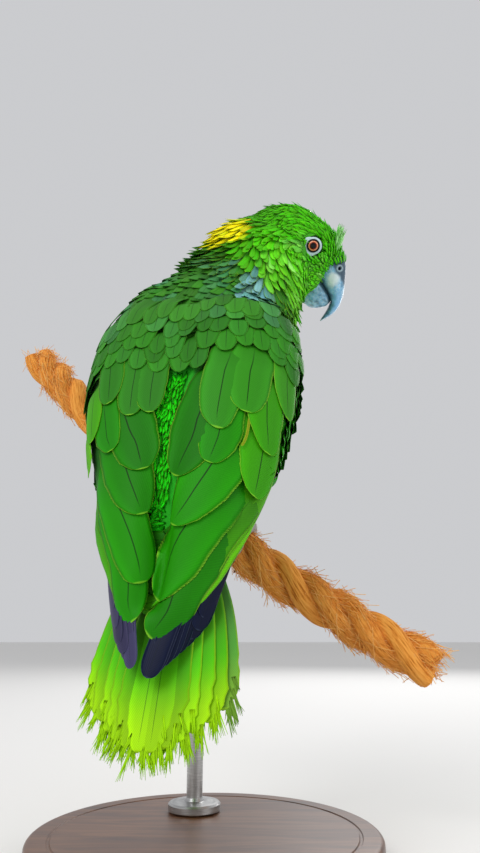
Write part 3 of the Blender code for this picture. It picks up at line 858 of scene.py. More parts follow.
def sink_skin(mesh, settings):
    """Move the skin inwards by the coat's depth, less where the body is thin."""
    points, faces = mesh_arrays(mesh)
    normals = vertex_normals(points, faces)
    tree = tree_of(points, faces)
    head_depth, depth = settings.head_depth / MM, settings.coat_depth / MM
    moved = points.copy()
    for i, (point, normal) in enumerate(zip(points, normals)):
        far = tree.ray_cast(Vector(point - normal * 0.05), Vector(-normal), 30.0)[3] or 30.0
        near_head = ease(48.0, 26.0, np.linalg.norm(point - head_place(-6.0, -4.0, 0.0)))
        moved[i] -= normal * min(head_depth * near_head + depth * (1 - near_head), 0.4 * far)
    mesh.vertices.foreach_set("co", (moved * MM).ravel())


def regions_of(points):
    """The nearest fleshy node of each point."""
    trees = {name: tree_of(*cad_mesh(name)) for name in FLESH}
    return [min(trees, key=lambda name: trees[name].find_nearest(Vector(point))[3]) for point in points]


def dress_skin(skin):
    """Give the skin the coat's markings and its material."""
    points, _ = mesh_arrays(skin.data)
    colours = np.ones((len(points), 4))
    for i, spot in enumerate(zip(regions_of(points), points, *SPINE.where(points))):
        colours[i, :3] = markings(*spot)
    mark(skin.data, "tint", colours, "FLOAT_COLOR")
    dress(skin.data, skin_material())


# Small feathers: spacing, length, width, lift of the tip, share of width at the root, roundness of the
# tip, and how far their lie strays.
KINDS = {
    "face": (1.30, 4.6, 1.5, 0.6, 0.5, 0.6, 0.10),
    "crown": (1.65, 7.0, 2.1, 0.65, 0.5, 0.6, 0.10),
    "cheek": (1.75, 8.5, 1.7, 1.5, 0.4, 0.7, 0.13),
    "neck": (3.2, 16.0, 4.6, 2.8, 0.45, 0.55, 0.14),
    "mantle": (6.2, 16.0, 13.5, 1.1, 0.65, 0.75, 0.10),
    "strip": (1.5, 7.5, 1.7, 1.5, 0.5, 0.5, 0.22),
    "breast": (5.4, 14.0, 9.5, 1.4, 0.6, 0.6, 0.06),
    "belly": (4.8, 14.0, 7.0, 1.9, 0.5, 0.5, 0.14),
    "thigh": (3.2, 8.5, 4.6, 0.9, 0.5, 0.5, 0.10),
    "coverts": (6.0, 24.0, 9.0, 1.6, 0.55, 0.5, 0.06),
}


def kind_at(region, point, height, turn):
    """Which small feathers grow at a place, and how large they are there."""
    ahead, up, _ = head_spot(point)
    from_eyes, from_bill = (float(np.linalg.norm(point - middle)) for middle in (EYE_MIDDLE, BILL_BASE))
    if region == "head":
        if ahead > 7.0 or from_bill < 17.0:
            return "face", 1.0
        if up < -7.0:
            return "cheek", 0.85 + 0.3 * ease(20.0, 50.0, from_bill)
        return "crown", 0.8 + 0.4 * ease(15.0, 45.0, from_bill)
    if above_collar(point) > 0.0 and point[2] > 240.0:
        return "neck", 0.62 + 0.46 * ease(22.0, 66.0, from_eyes)
    if region == "neck":
        return "mantle", 0.5 + 0.2 * ease(60.0, 90.0, from_eyes)
    if region.startswith("thigh"):
        return "thigh", 1.0
    if region.startswith("wing"):
        if height < 72.0 and abs(turn) < 84.0:
            return None, 0.0
        return "mantle", (0.75 + 0.35 * ease(112.0, 66.0, height)) * (1 - 0.4 * ease(76.0, 90.0, abs(turn)))
    if abs(turn) > 112.0:
        return ("breast", 1.0) if height > 45.0 else ("belly", 1.0)
    if height < -14.0:
        return "coverts", 1.0
    if height < 74.0:
        # The gap between the wings; large feathers cover the rest.
        off = abs(turn - np.interp(height, (-14.0, 20.0, 54.0), (-18.0, -6.0, 1.0)))
        if off < 12.5 and -13.5 < height < 52.0:
            return "strip", 1.1 - 0.35 * ease(5.0, 12.0, off)
        return None, 0.0
    return "mantle", 0.7 + 0.4 * ease(118.0, 66.0, height)


def scatter(points, faces, rng, budget):
    """Random places on a triangle mesh, evenly by area."""
    corners = points[faces]
    area = np.linalg.norm(face_cross(points, faces), axis=1)
    chosen = rng.choice(len(faces), budget, p=area / area.sum())
    a, b = rng.random(budget), rng.random(budget)
    flip = a + b > 1
    a[flip], b[flip] = 1 - a[flip], 1 - b[flip]
    first, second, third = (corners[chosen, k] for k in range(3))
    return first + (second - first) * a[:, None] + (third - first) * b[:, None], chosen


class Spacing:
    """Keeps places apart by each one's own distance."""
    CELL = 3.0

    def __init__(self):
        self.grid = {}

    def cell(self, point):
        return tuple(int(c // self.CELL) for c in point)

    def free(self, point, gap):
        reach = int(gap / self.CELL) + 1
        ranges = (range(c - reach, c + reach + 1) for c in self.cell(point))
        return not any(((other - point) ** 2).sum() < gap * gap
                       for cell in product(*ranges) for other in self.grid.get(cell, ()))

    def keep(self, point):
        self.grid.setdefault(self.cell(point), []).append(point)


def bare(point):
    """True where no feather grows: round the eyes, under the cere and on the bill."""
    for eye, sign in ((EYE_LEFT, -1), (EYE_RIGHT, 1)):
        off = point - eye
        if off @ HEAD_RIGHT * sign > 0:
            if math.hypot((off @ FACING + 0.5) / 4.8, (off @ CROWN + 1.2) / 5.9) < 1.0:
                return True
    ahead, up, side = head_spot(point)
    edge = np.interp(up, (-31.0, -14.0, -10.6, -8.0, -3.7, 0.0, 3.0, 8.0),
                     (13.0, 18.4, 17.6, 16.9, 16.8, 19.3, 22.2, 23.0))
    return ahead > edge and abs(side) < 12.5


def make_small_feathers(skin, settings):
    """Every small feather of head, neck, back, breast, thighs and tail coverts."""
    rng = np.random.default_rng(settings.seed)
    points, faces = joined(mesh_arrays(skin.data), cad_mesh("cere"))
    tree = tree_of(points, faces)
    spots, chosen = scatter(points, faces, rng, 110000)
    normals = unit(face_cross(points, faces))[chosen]
    spacing, coats = Spacing(), {}
    for spot, normal, name, height, turn in zip(spots, normals, regions_of(spots), *SPINE.where(spots)):
        kind, scale = kind_at(name, spot, height, turn)
        if kind is None or not spacing.free(spot, KINDS[kind][0] * scale * settings.density):
            continue
        if bare(spot) or bare(spot + 2.4 * flow(spot, normal)):
            continue
        spacing.keep(spot)
        steps, halves = (4, 1) if kind in ("face", "crown", "cheek", "strip") else (6, 2)
        coat = coats.setdefault(kind, Coat(steps, halves))
        grow_feather(coat, tree, spot, normal, kind, scale, name, height, turn, rng)
    raise_tuft(coats["crown"], tree, rng)
    return coats


def grow_feather(coat, tree, spot, normal, kind, scale, name, height, turn, rng):
    """Lay one small feather on the skin."""
    _, length, width, lift, root, tip, stray = KINDS[kind]
    size = scale * rng.uniform(0.86, 1.14)
    length, half = length * size, width * size / 2
    way = flow(spot, normal)
    way = unit(way + np.cross(normal, way) * rng.normal(0.0, stray))
    line, ups, ways = walk(tree, spot, way, length, coat.steps)
    u = coat.u
    nape = ease(1.5, 0.7, nape_gap(spot))
    ahead, up, _ = head_spot(spot)
    brow = ease(3.0, 12.0, ahead) * ease(-12.0, -3.0, up) if name == "head" else 0.0
    ruffled = 1.7 * (kind in ("crown", "neck") and rng.random() < 0.12)
    stand = lift * (1 + 0.9 * nape) * rng.uniform(0.75, 1.3) + ruffled
    stand = stand * (0.2 + 0.8 * u) * u + 2.0 * brow * u ** 0.5
    if kind == "mantle":
        stand = stand + 1.1 * ease(106.0, 90.0, height) * u
    line = line + ups * (stand + 0.15 + rng.uniform(0.0, 0.25))[:, None]
    if kind in ("neck", "crown", "cheek"):
        spot = line[-1]
        (height,), (turn,) = SPINE.where(spot)
    tint = markings(name, spot, height, turn)
    tint = np.clip(tint * (1 + rng.normal(0.0, 0.09, 3) * np.array((1.0, 0.6, 1.0))), 0.0, 1.0)
    home = ((turn + 180.0) / 360.0, (height + 110.0) / 330.0)
    shape = outline(u, tip, root) * half
    coat.add(line, unit(np.cross(ways, ups)), ups, shape, 0.16, 0.28, tint, rng.random(), home, length)


def raise_tuft(coat, tree, rng):
    """A few longer pale feathers that stand up on the forehead."""
    for _ in range(46):
        start = head_place(rng.uniform(9.0, 14.5), rng.uniform(5.0, 10.5), rng.uniform(3.0, 9.5))
        root, up = (np.array(found) for found in tree.find_nearest(Vector(start))[:2])
        lean = up * rng.uniform(0.2, 0.5)
        way = unit((CROWN - FACING) * 0.62 + lean + HEAD_RIGHT * rng.normal(0.0, 0.10))
        length = rng.uniform(8.0, 12.5)
        line = root + up * 1.2 + way * (coat.u * length)[:, None] + up * (0.8 * coat.u ** 2)[:, None]
        side = np.broadcast_to(unit(np.cross(way, up)), line.shape)
        ups = np.broadcast_to(unit(np.cross(side[0], way)), line.shape)
        tint = TUFT_GREEN * rng.uniform(0.85, 1.1)
        coat.add(line, side, ups, outline(coat.u, 0.7, 0.6) * 1.15, 0.14, 0.2, tint, rng.random(),
                 (0.5, 0.9 + 0.002 * rng.random()), length)


# ---------------------------------------------------------------- wings and tail

# Large wing feathers, lowest first: height and angle of the tip, height and angle of the root, width.
LARGE_LEFT = ((-53, -43, -8, -56, 18), (-39, -34, 6, -52, 24), (-13, -24, 23, -43, 26),
              (10, -71, 34, -69, 14), (4, -24, 39, -36, 27), (13, -47, 43, -47, 16), (25, -59, 52, -55, 15),
              (29, -30, 65, -26, 15), (30, -17, 67, -13, 16), (38, -42, 69, -42, 16))
LARGE_RIGHT = ((-58, 13, -19, 60, 21), (-43, 0, -4, 50, 31), (-5, 72, 22, 66, 23), (-18, 20, 14, 46, 29),
               (4, 39, 31, 44, 20), (1, 13, 38, 36, 28), (13, 70, 42, 61, 22), (29, 79, 57, 71, 16),
               (23, 55, 59, 52, 22), (17, 40, 57, 41, 21))
# The narrow outer secondaries: first and last as height and angle of tip, height and angle of root.
SECONDARIES = {"left": (((-53, -60), (-40, -94)), ((2, -82), (34, -108)), 4, 13.0),
               "right": (((-60, 26), (-46, 82)), ((6, 80), (34, 106)), 5, 16.0)}
# Tips as height, angle and how far they stand out past the wing's edge, then where the first and last
# roots lie, how many feathers there are and how wide.
PRIMARIES = {"left": (((-69, -43, 0.0), (-66, -56, 0.0), (-60, -74, 0.0), (-50, -84, 0.0)),
                      ((-38, -54), (-26, -78)), 7, 7.5),
             "right": (((-72, 34, 0.0), (-67, 62, 0.0), (-61, 86, 0.5), (-53, 88, 2.0), (-44, 86, 2.0)),
                       ((-34, 40), (-20, 80)), 10, 9.5)}


def lay_on_bed(coat, bed, tip, root, width, top, rise, tint, rng, stretch=1.45, root_width=0.6,
               shingle=0.0, full=0.42):
    """One large feather on the bed, from under its neighbours to its tip.

    top is how high its middle lies over the bed, rise how far the tip lifts, shingle its tilt to the
    side, and full how far along it comes out from under its neighbours.
    """
    end = np.array((tip[0], bed.arc(*tip)))
    far = end + (np.array((root[0], bed.arc(*root))) - end) * stretch
    u, v = coat.u, coat.v
    length = math.hypot(*(far - end))
    way = (end - far) / length
    bow = rng.uniform(-0.6, 0.6) * np.sin(u * math.pi)
    heights = far[0] + (end[0] - far[0]) * u - way[1] * bow
    arcs = far[1] + (end[1] - far[1]) * u + way[0] * bow
    half = outline(u, min(0.62, width / length), root_width) * width / 2
    wave = 1 + 0.014 * np.sin(u * 37 + rng.uniform(0, 6)) + 0.010 * np.sin(u * 71 + rng.uniform(0, 6))
    spread = (half * wave)[:, None] * v[None, :]
    swept = 0.16 * np.abs(spread) * ease(1.0, 0.6, u)[:, None]
    grid_heights = heights[:, None] - spread * way[1] - swept * way[0]
    grid_arcs = arcs[:, None] + spread * way[0] - swept * way[1]
    points, normals = bed.at(grid_heights.ravel(), grid_arcs.ravel())
    hidden = -4.2 + (4.2 + top) * ease(0.05, full, u)[:, None]
    outwards = (grid_arcs - arcs[:, None]) * math.copysign(1.0, tip[1])
    shaft = 0.08 * np.exp(-(v[None, :] / 0.10) ** 2)
    lift = hidden + rise * u[:, None] - 0.02 * np.abs(spread) ** 1.2 + shingle * outwards + shaft
    sheet = (points + normals * lift.reshape(-1, 1)).reshape(len(u), len(v), 3)
    ups = normals.reshape(len(u), len(v), 3)[:, len(v) // 2]
    row, column = divmod(len(coat.points), 12)
    home = ((column + 0.5) / 12, (row + 0.5) / 12)
    coat.store(sheet, ups, half, 0.35, tint, rng.random(), home, length, patch=0.06)


def between(a, b, t):
    return tuple(p + (q - p) * t for p, q in zip(a, b))


def lay_primary(coat, bed, tip, root, width, tint, rng):
    """One stiff primary: straight from under the wing to a tip past the wing's edge."""
    tip_point, tip_normal = (found[0] for found in bed.at([tip[0]], [bed.arc(tip[0], tip[1])]))
    root_point, root_normal = (found[0] for found in bed.at([root[0]], [bed.arc(root[0], root[1])]))
    up = unit(tip_normal + root_normal - AHEAD * 0.8)
    outward = unit(np.cross(AHEAD, UP)) * math.copysign(1.0, tip[1])
    end = tip_point + outward * tip[2] + up * rng.uniform(-0.2, 0.2)
    start = root_point - up * 5.6
    line = start + (end - start) * coat.u[:, None] + up * (0.3 * np.sin(coat.u * math.pi))[:, None]
    ways = unit(np.gradient(line, axis=0))
    ups = unit(up - ways * (ways @ up)[:, None])
    length = float(np.linalg.norm(end - start))
    half = outline(coat.u, 0.9 * width / length, 0.8) * width / 2
    home = ((len(coat.points) + 0.5) / 14, 0.5)
    coat.add(line, unit(np.cross(ways, ups)), ups, half, 0.35, 0.12, tint, rng.random(), home, length,
             patch=0.06)


def make_wings(settings):
    """Both wings: primaries lowest, then secondaries, the large coverts, and rows of scapulars."""
    bed = Bed()
    rng = np.random.default_rng(settings.seed + 1)
    green, dark, rows = Coat(18, 5, crowd=1.7), Coat(14, 4, crowd=1.7), Coat(9, 3, crowd=1.6)
    # Each side: primaries' colour, painted lit on the left; how much painted lime rim light outer
    # secondaries and coverts show.
    for side, large, night, lime, edge in (("left", LARGE_LEFT, blend(LIT_PLUM, NAVY, 0.35), 1.2, 0.7),
                                           ("right", LARGE_RIGHT, NAVY, 0.7, 0.15)):
        tips, roots, count, width = PRIMARIES[side]
        for t in np.linspace(1.0, 0.0, count):
            colour = night * rng.uniform(0.8, 1.2)
            lay_primary(dark, bed, smooth_row(tips, t), between(*roots, t), width, colour, rng)
        tips, roots, count, width = SECONDARIES[side]
        for t in np.linspace(1.0, 0.0, count):
            # Painted rim light: the outer secondaries turn lime.
            colour = blend(WING_GREEN, RIM_LIGHT_LIME, min(1.0, 0.25 + lime * t))
            lay_on_bed(green, bed, between(*tips, t), between(*roots, t), width, -2.7 - 0.5 * t, 0.9,
                       colour, rng, 1.3, 0.8, 0.10)
        for n, (*ends, width) in enumerate(large):
            colour = WING_GREEN * rng.uniform(0.9, 1.1)
            # Painted rim light: the coverts turn lime towards the wing's edge.
            colour = blend(colour, RIM_LIGHT_LIME, edge * ease(48.0, 76.0, abs(ends[1])))
            if n > 6:
                colour = blend(colour, MANTLE_GREEN, 0.5)
            top = -1.9 + 0.36 * min(n, 3) + 0.07 * n
            lay_on_bed(green, bed, ends[:2], ends[2:], width, top, 1.3, colour, rng)
            if n == 3 and side == "right":
                lay_on_bed(green, bed, (12, 55), (25, 58), 1.1, 0.0, 0.9, STREAK_YELLOW, rng, 1.2)
    lay_rows(rows, bed, rng)
    return green, dark, rows


def lay_rows(coat, bed, rng):
    """Staggered rows of broad scapulars between the large feathers and the mantle."""
    for row in range(5):
        height = 49.0 + 8.0 * row
        limit = 88.0 - 2.0 * row
        arc, last = bed.arc(height, -limit), bed.arc(height, limit)
        arc += rng.uniform(0.0, 8.0)
        while arc < last:
            width = rng.uniform(10.5, 16.0) - 0.5 * row
            turn = float(np.interp(arc, bed.arcs[int((height - bed.LOW) / bed.STEP)], bed.turns))
            tip = height + rng.uniform(-4.2, 4.2)
            if row > 0 or abs(turn) > 62.0 or -17.0 < turn < 34.0:
                point = bed.at([tip], [arc])[0][0]
                tint = markings("wing", point, max(tip, 66.0), turn) * rng.uniform(0.78, 1.14)
                lay_on_bed(coat, bed, (tip, turn), (tip + 20.0, turn * 0.94), width, 0.2 + 0.15 * row, 0.7,
                           tint, rng, 1.25, full=0.62)
            arc += width * rng.uniform(0.66, 0.82)


def tail_frame():
    """The tail's root, its three directions, its half width at the tips and its length."""
    points, _ = cad_mesh("tail")
    heights = points[:, 2]
    top = points[heights > heights.max() - 6.0].mean(0)
    down = unit(points[heights < heights.min() + 12.0].mean(0) - top)
    across = unit(np.cross(down, AHEAD))
    across = across * math.copysign(1.0, across @ RIGHT)
    back = unit(np.cross(across, down))
    back = -back * math.copysign(1.0, back @ AHEAD)
    off = points - top
    return top, down, across, back, (off @ across).max() - 7.0, (off @ down).max() - 7.5


def make_tail(settings):
    """Twelve tail feathers in a fan with frayed, lime tips, and the barbs that stand off them."""
    rng = np.random.default_rng(settings.seed + 2)
    top, down, across, back, half_fan, reach = tail_frame()
    # The loose barbs read as the outer part of a vane, so they take none of the painted root shade.
    vanes, barbs = Coat(20, 6, crowd=1.3), Coat(4, 1, (0.62, 0.9))
    u, count = vanes.u, 12
    for rank in range(count):
        # The outermost feathers lie lowest, and the two sides take turns.
        order = rank // 2 if rank % 2 == 0 else count - 1 - rank // 2
        p = 2 * order / (count - 1) - 1
        depth = abs(p)
        start = top + across * 15.0 * p * 0.8 - down * 34.0 - back * (1.2 + 3.0 * p * p)
        end = top + across * half_fan * p + down * (reach - 17.0 * depth ** 1.7)
        end = end + back * (0.9 - 5.6 * p * p - 0.25 * depth)
        line = start + (end - start) * u[:, None] + across * (2.4 * p * np.sin(u * math.pi))[:, None]
        line = line + back * (1.4 * (1 - depth) * u)[:, None]
        ways = unit(np.gradient(line, axis=0))
        up = np.broadcast_to(back, line.shape)
        sides = unit(np.cross(ways, up))
        ragged = 0.10 * np.sin(u * 63 + rng.uniform(0, 6)) + 0.08 * np.sin(u * 117 + rng.uniform(0, 6))
        half = outline(u, 0.30, 0.45) * rng.uniform(6.8, 7.8) * (1 + ragged * ease(0.6, 0.9, u))
        tint = blend(TAIL_ROOT, TAIL_GREEN, ease(0.35, 0.72, u)[:, None])
        tint = blend(tint, TAIL_LIME, ease(0.62, 0.95, u)[:, None])
        if order == count - 1:
            tint = blend(tint, OUTER_GREY, 0.6)
        vanes.add(line, sides, up, half, 0.35, 0.10, tint, rng.random(), ((rank + 0.5) / 12, 0.5),
                  np.linalg.norm(end - start), patch=0.07)
        fray(barbs, line, sides, ways, back, half, tint, rng, p)
    return vanes, barbs


def fray(barbs, line, sides, ways, up, half, tint, rng, p):
    """Loose barbs in clumps along the end of a tail feather, which stand past its rims and tip."""
    steps = len(line) - 1
    for clump in range(13):
        t = 1.0 - rng.random() ** 1.5 * 0.22 * (clump > 3)
        i = min(int(t * steps), steps - 1)
        spot = blend(line[i], line[i + 1], t * steps - i)
        width = max(blend(half[i], half[i + 1], t * steps - i), 3.6 * (t > 0.93))
        outward = sides[i] * rng.choice((-1.0, 1.0))
        lean, reach = rng.uniform(0.02, 0.42), rng.uniform(3.0, 8.5) * (0.6 + 0.5 * t)
        across = rng.uniform(0.2, 0.85)
        for _ in range(7):
            way = outward * (lean + rng.normal(0.0, 0.05))
            way = unit(ways[i] + way + up * rng.normal(0.0, 0.012))
            start = spot + outward * width * (across + rng.uniform(-0.14, 0.14)) - ways[i] * 3.2
            start = start - up * rng.uniform(0.15, 0.42)
            length = reach * rng.uniform(0.7, 1.1) + 3.0
            bend = rng.normal(0.0, 0.06) * length
            barb = start + way * (barbs.u * length)[:, None] + sides[i] * (bend * barbs.u ** 2)[:, None]
            colour = np.clip(tint[min(i + 1, steps)] * rng.uniform(0.94, 1.08), 0, 1)
            flat, ups = (np.broadcast_to(way, barb.shape) for way in (unit(np.cross(way, up)), up))
            barbs.add(barb, flat, ups, np.linspace(0.42, 0.07, len(barbs.u)), 0.10, 0.0, colour,
                      rng.random(), ((p + 1) / 2, t), length)


# ---------------------------------------------------------------- bill, cere and eyes

# The bill's outlines as ahead and up from the eyes' middle, and its half widths, base to tip.
RIDGE = ((13.5, 7.6), (22.4, 3.0), (28.4, -5.4), (32.8, -13.6), (34.8, -21.6), (33.6, -28.4), (30.6, -34.6))
CUTTING_EDGE = ((12.0, -14.0), (17.7, -15.6), (22.6, -17.6), (26.6, -19.6), (28.9, -23.0), (29.8, -28.0),
                (30.0, -34.2))
BILL_HALF_WIDTHS = (8.2, 8.4, 8.0, 6.8, 5.0, 3.1, 0.8)
LOWER_TOP = ((12.0, -14.2), (18.0, -15.7), (22.6, -17.6), (28.4, -20.6))
LOWER_BOTTOM = ((12.0, -30.0), (18.5, -31.4), (23.6, -29.2), (27.6, -25.2))
LOWER_HALF_WIDTHS = (7.6, 7.4, 6.0, 3.4)
# The bare band ends at this share of the upper bill.
CERE_END = 0.24
NOSTRIL = (21.0, -1.45)


def smooth_row(rows, t):
    """Catmull-Rom through rows of numbers, t from 0 to 1."""
    rows = np.array(rows, float).reshape(len(rows), -1)
    last = len(rows) - 1
    at = min(max(t, 0.0), 1.0) * last
    i = min(int(at), last - 1)
    u = at - i
    p0, p1, p2, p3 = (rows[min(max(i + k, 0), last)] for k in (-1, 0, 1, 2))
    return 0.5 * (2 * p1 + (p2 - p0) * u + (2 * p0 - 5 * p1 + 4 * p2 - p3) * u ** 2
                  + (3 * p1 - p0 - 3 * p2 + p3) * u ** 3)


def bill_rings(part, start, end, rows, sides, ridge, shape):
    """Rings of a bill part: ridge pinches the top, and shape moves each point."""
    top_line, bottom_line, widths = part
    rings = []
    for t in np.linspace(start, end, rows):
        top, bottom, half = smooth_row(top_line, t), smooth_row(bottom_line, t), smooth_row(widths, t)[0]
        middle, rise = (top + bottom) / 2, (top - bottom) / 2
        ring = []
        for k in range(sides):
            angle = math.tau * k / sides
            c, s = math.cos(angle), math.sin(angle)
            local = (*(middle + rise * c), half * s * (1 - ridge * max(c, 0.0) ** 3))
            ring.append(head_place(*shape(np.array(local), t, angle)))
        rings.append(ring)
    return rings


def ring_mesh(rings):
    """Points and faces of rings closed with a fan at both ends."""
    count = len(rings[0])
    points, faces = [p for ring in rings for p in ring], band_faces(len(rings), count)
    for ring, base, order in ((rings[0], 0, 1), (rings[-1], (len(rings) - 1) * count, -1)):
        points.append(np.mean(ring, axis=0))
        for k in range(count):
            a, b = (base + k, base + (k + 1) % count)[::order]
            faces.append((len(points) - 1, b, a))
    return points, faces


def upper_shape(local, t, angle):
    """Growth ridges, the notch behind the hook, and a slightly hollow side."""
    ahead, up, side = local
    wear = 0.10 * math.sin(t * 60 + 2 * math.sin(angle * 3)) + 0.12 * noise3(local, 1.6)
    wear = math.copysign(wear, side) * min(1.0, abs(side) / 3)
    notch = 0.9 * math.exp(-((t - 0.60) / 0.035) ** 2) * max(0.0, -math.cos(angle)) ** 2
    return np.array((ahead + notch * 0.4, up + notch, side + wear))


def lower_shape(local, t, angle):
    """A full, square-shouldered upper rim that closes against the upper bill."""
    middle = (smooth_row(LOWER_TOP, t) + smooth_row(LOWER_BOTTOM, t)) / 2
    full = 1 + 0.24 * abs(math.sin(2 * angle)) * (math.cos(angle) > 0)
    return np.array((*blend(middle, local[:2], full), local[2] * full + 0.15 * noise3(local, 1.4)))


def cere_shape(local, t, _):
    """A swell over the bill's base, and a pit with a raised rim for each nostril."""
    ahead, up, side = local
    swell = 1.0 + 0.05 * math.sin(math.pi * min(1.0, t / CERE_END))
    gap = math.hypot(ahead - NOSTRIL[0], up - NOSTRIL[1]) if abs(side) > 1.5 else 9.0
    pit = -2.2 * math.exp(-(gap / 0.95) ** 4) + 0.5 * math.exp(-((gap - 1.6) / 0.55) ** 2)
    push = unit(np.array((0.45, 0.35, math.copysign(0.8, side))))
    return np.array((ahead, up, side * swell)) + push * pit


def horn_layers(piece, upper):
    """Where the horn is pale, dark or blue, where it is bare skin, and the nostril's rim and hole; the dark
    near the cutting edges and the hole are painted shade.
    """
    edge, ridge = (np.array([smooth_row(line, t) for t in np.linspace(0, 1, 60)])
                   for line in (CUTTING_EDGE, RIDGE))
    rows = []
    for point in mesh_arrays(piece.data)[0]:
        ahead, up, _ = head_spot(point)
        swirl = noise3(point, 1.5)
        to_edge, to_ridge = (np.sqrt(((line - (ahead, up)) ** 2).sum(1)).min() for line in (edge, ridge))
        to_edge += 0.9 * swirl
        if upper:
            patch = math.hypot((ahead - 21.6) / 4.2, (up + 8.8) / 4.9) + 0.16 * swirl
            pale = max(0.85 * ease(1.25, 0.45, patch), 0.5 * ease(1.1, 0.3, to_ridge))
            # Painted shade: the horn darkens towards the cutting edge, where the mandibles meet.
            dark = 0.85 * ease(3.6, 0.6, to_edge) * (1 - pale)
            skin = ease(-5.6, -3.4, up + 0.45 * (ahead - NOSTRIL[0]) + 0.5 * swirl)
        else:
            pale, skin = 0.0, 0.0
            # Darker swirls, and painted shade towards the cutting edge under the upper bill.
            dark = max(0.5 * ease(0.1, 0.6, swirl), 0.9 * ease(2.2, 0.6, to_edge))
        gap = math.hypot(ahead - NOSTRIL[0], up - NOSTRIL[1])
        # The black hole is painted shade in the nostril's pit.
        hole = ease(1.2, 0.7, math.hypot((ahead - NOSTRIL[0]) / 0.85, (up - NOSTRIL[1]) / 1.15))
        rows.append((pale, dark, 0.75 * ease(-12.0, -19.0, up) * upper, skin,
                     0.75 * math.exp(-((gap - 1.6) / 0.5) ** 2), hole))
    for name, values in zip(("pale", "dark", "blue", "skin", "rim", "hole"), zip(*rows)):
        mark(piece.data, name, values)


def make_bill():
    """Upper and lower bill with a notch, and the bare band over the base with its nostrils."""
    clouds = ((0.28, "487c9c"), (0.45, "6caace"), (0.6, "8ec6e6"), (0.75, "b8e0f2"))
    # The dark near the cutting edges and the black nostril hole are painted shade.
    horn = horn_material("slate_blue_horn", clouds, 0.36, 0.9,
                         (("blue", "74b4e0"), ("dark", "284450"), ("pale", "e2f0f0"), ("skin", "2c4c60"),
                          ("rim", "a9c4cc"), ("hole", "040507")))
    upper, lower = (RIDGE, CUTTING_EDGE, BILL_HALF_WIDTHS), (LOWER_TOP, LOWER_BOTTOM, LOWER_HALF_WIDTHS)
    for name, slot, node, rings in (
            ("upper_bill", "bill_horn", "bill_upper",
             bill_rings(upper, CERE_END - 0.05, 1.0, 76, 56, 0.32, upper_shape)),
            ("lower_bill", "bill_horn", "bill_lower",
             bill_rings(lower, 0.0, 1.0, 40, 48, 0.0, lower_shape)),
            ("cere_band", "cere_skin", "cere",
             bill_rings(upper, 0.0, CERE_END, 70, 120, 0.32, cere_shape))):
        piece = new_object(name, *ring_mesh(rings), horn)
        clean(piece)
        horn_layers(piece, name != "lower_bill")
        settle(piece, slot, node)


def make_eyes():
    """Round eyes with an iris, and a bare pale ring with lids round each."""
    wet = eye_material()
    lid_skin = leather_material("pale_eye_ring", ((0.25, "547c86"), (0.45, "88acb4"), (0.75, "bcd2d8")),
                                0.6, 0.7, 0.12, (("margin", "0a0d10"),))
    rows, columns = 40, 56
    for name, centre, sign in (("left", EYE_LEFT, -1), ("right", EYE_RIGHT, 1)):
        outward = HEAD_RIGHT * sign
        points, gaze = [], []
        for i in range(rows + 1):
            polar = math.pi * i / rows
            bulge = 1.0 + 0.05 * math.exp(-(polar / 0.55) ** 2)
            for k in range(columns):
                across = around(math.tau * k / columns) * math.sin(polar)
                points.append(centre + (outward * math.cos(polar) + across) * EYE_RADIUS * bulge)
                gaze.append(polar / (math.pi / 2))
        ball = new_object(f"eyeball_{name}", points, band_faces(rows + 1, columns), wet)
        mark(ball.data, "gaze", gaze)
        clean(ball, 0.001)
        settle(ball, "eye_glass", f"eye_{name}")
        settle(eye_ring(f"eye_ring_{name}", centre, outward, lid_skin), "cere_skin")


def around(turn):
    """A direction at an angle round the eye."""
    return FACING * math.cos(turn) + CROWN * math.sin(turn)


def eye_ring(name, centre, outward, skin):
    """A soft ring: the lid's rim against the eye, then bare skin that narrows to its outer edge."""
    # Radius, height over the eye's middle, and how far the lower side sags.
    profile = ((3.4, 4.2, 0.0), (3.5, 4.75, 0.0), (3.75, 4.95, 0.0), (4.2, 4.9, 0.4), (4.6, 4.75, 1.4),
               (4.9, 4.45, 2.4), (5.2, 3.9, 3.0), (5.2, 1.0, 3.0), (4.2, 0.9, 1.4), (3.6, 3.0, 0.0))
    columns, lid_rings = 72, 3
    points = []
    for radius, height, sag in profile:
        for k in range(columns):
            turn = math.tau * k / columns
            low = max(0.0, -math.sin(turn + 0.75)) ** 1.1
            fold = 0.07 * math.sin(turn * 22 + radius * 4) * ease(3.9, 4.5, radius)
            points.append(centre + around(turn) * (radius + sag * low * 1.05)
                          + outward * (height + fold + 0.35 * low * ease(4.0, 5.0, radius)))
    ring = new_object(name, points, band_faces(len(profile), columns, closed=True), skin)
    mark(ring.data, "margin", [float(i < lid_rings * columns) for i in range(len(points))])
    clean(ring)
    modify(ring, "SUBSURF", levels=1, render_levels=1)
    return applied(ring)


# ---------------------------------------------------------------- feet

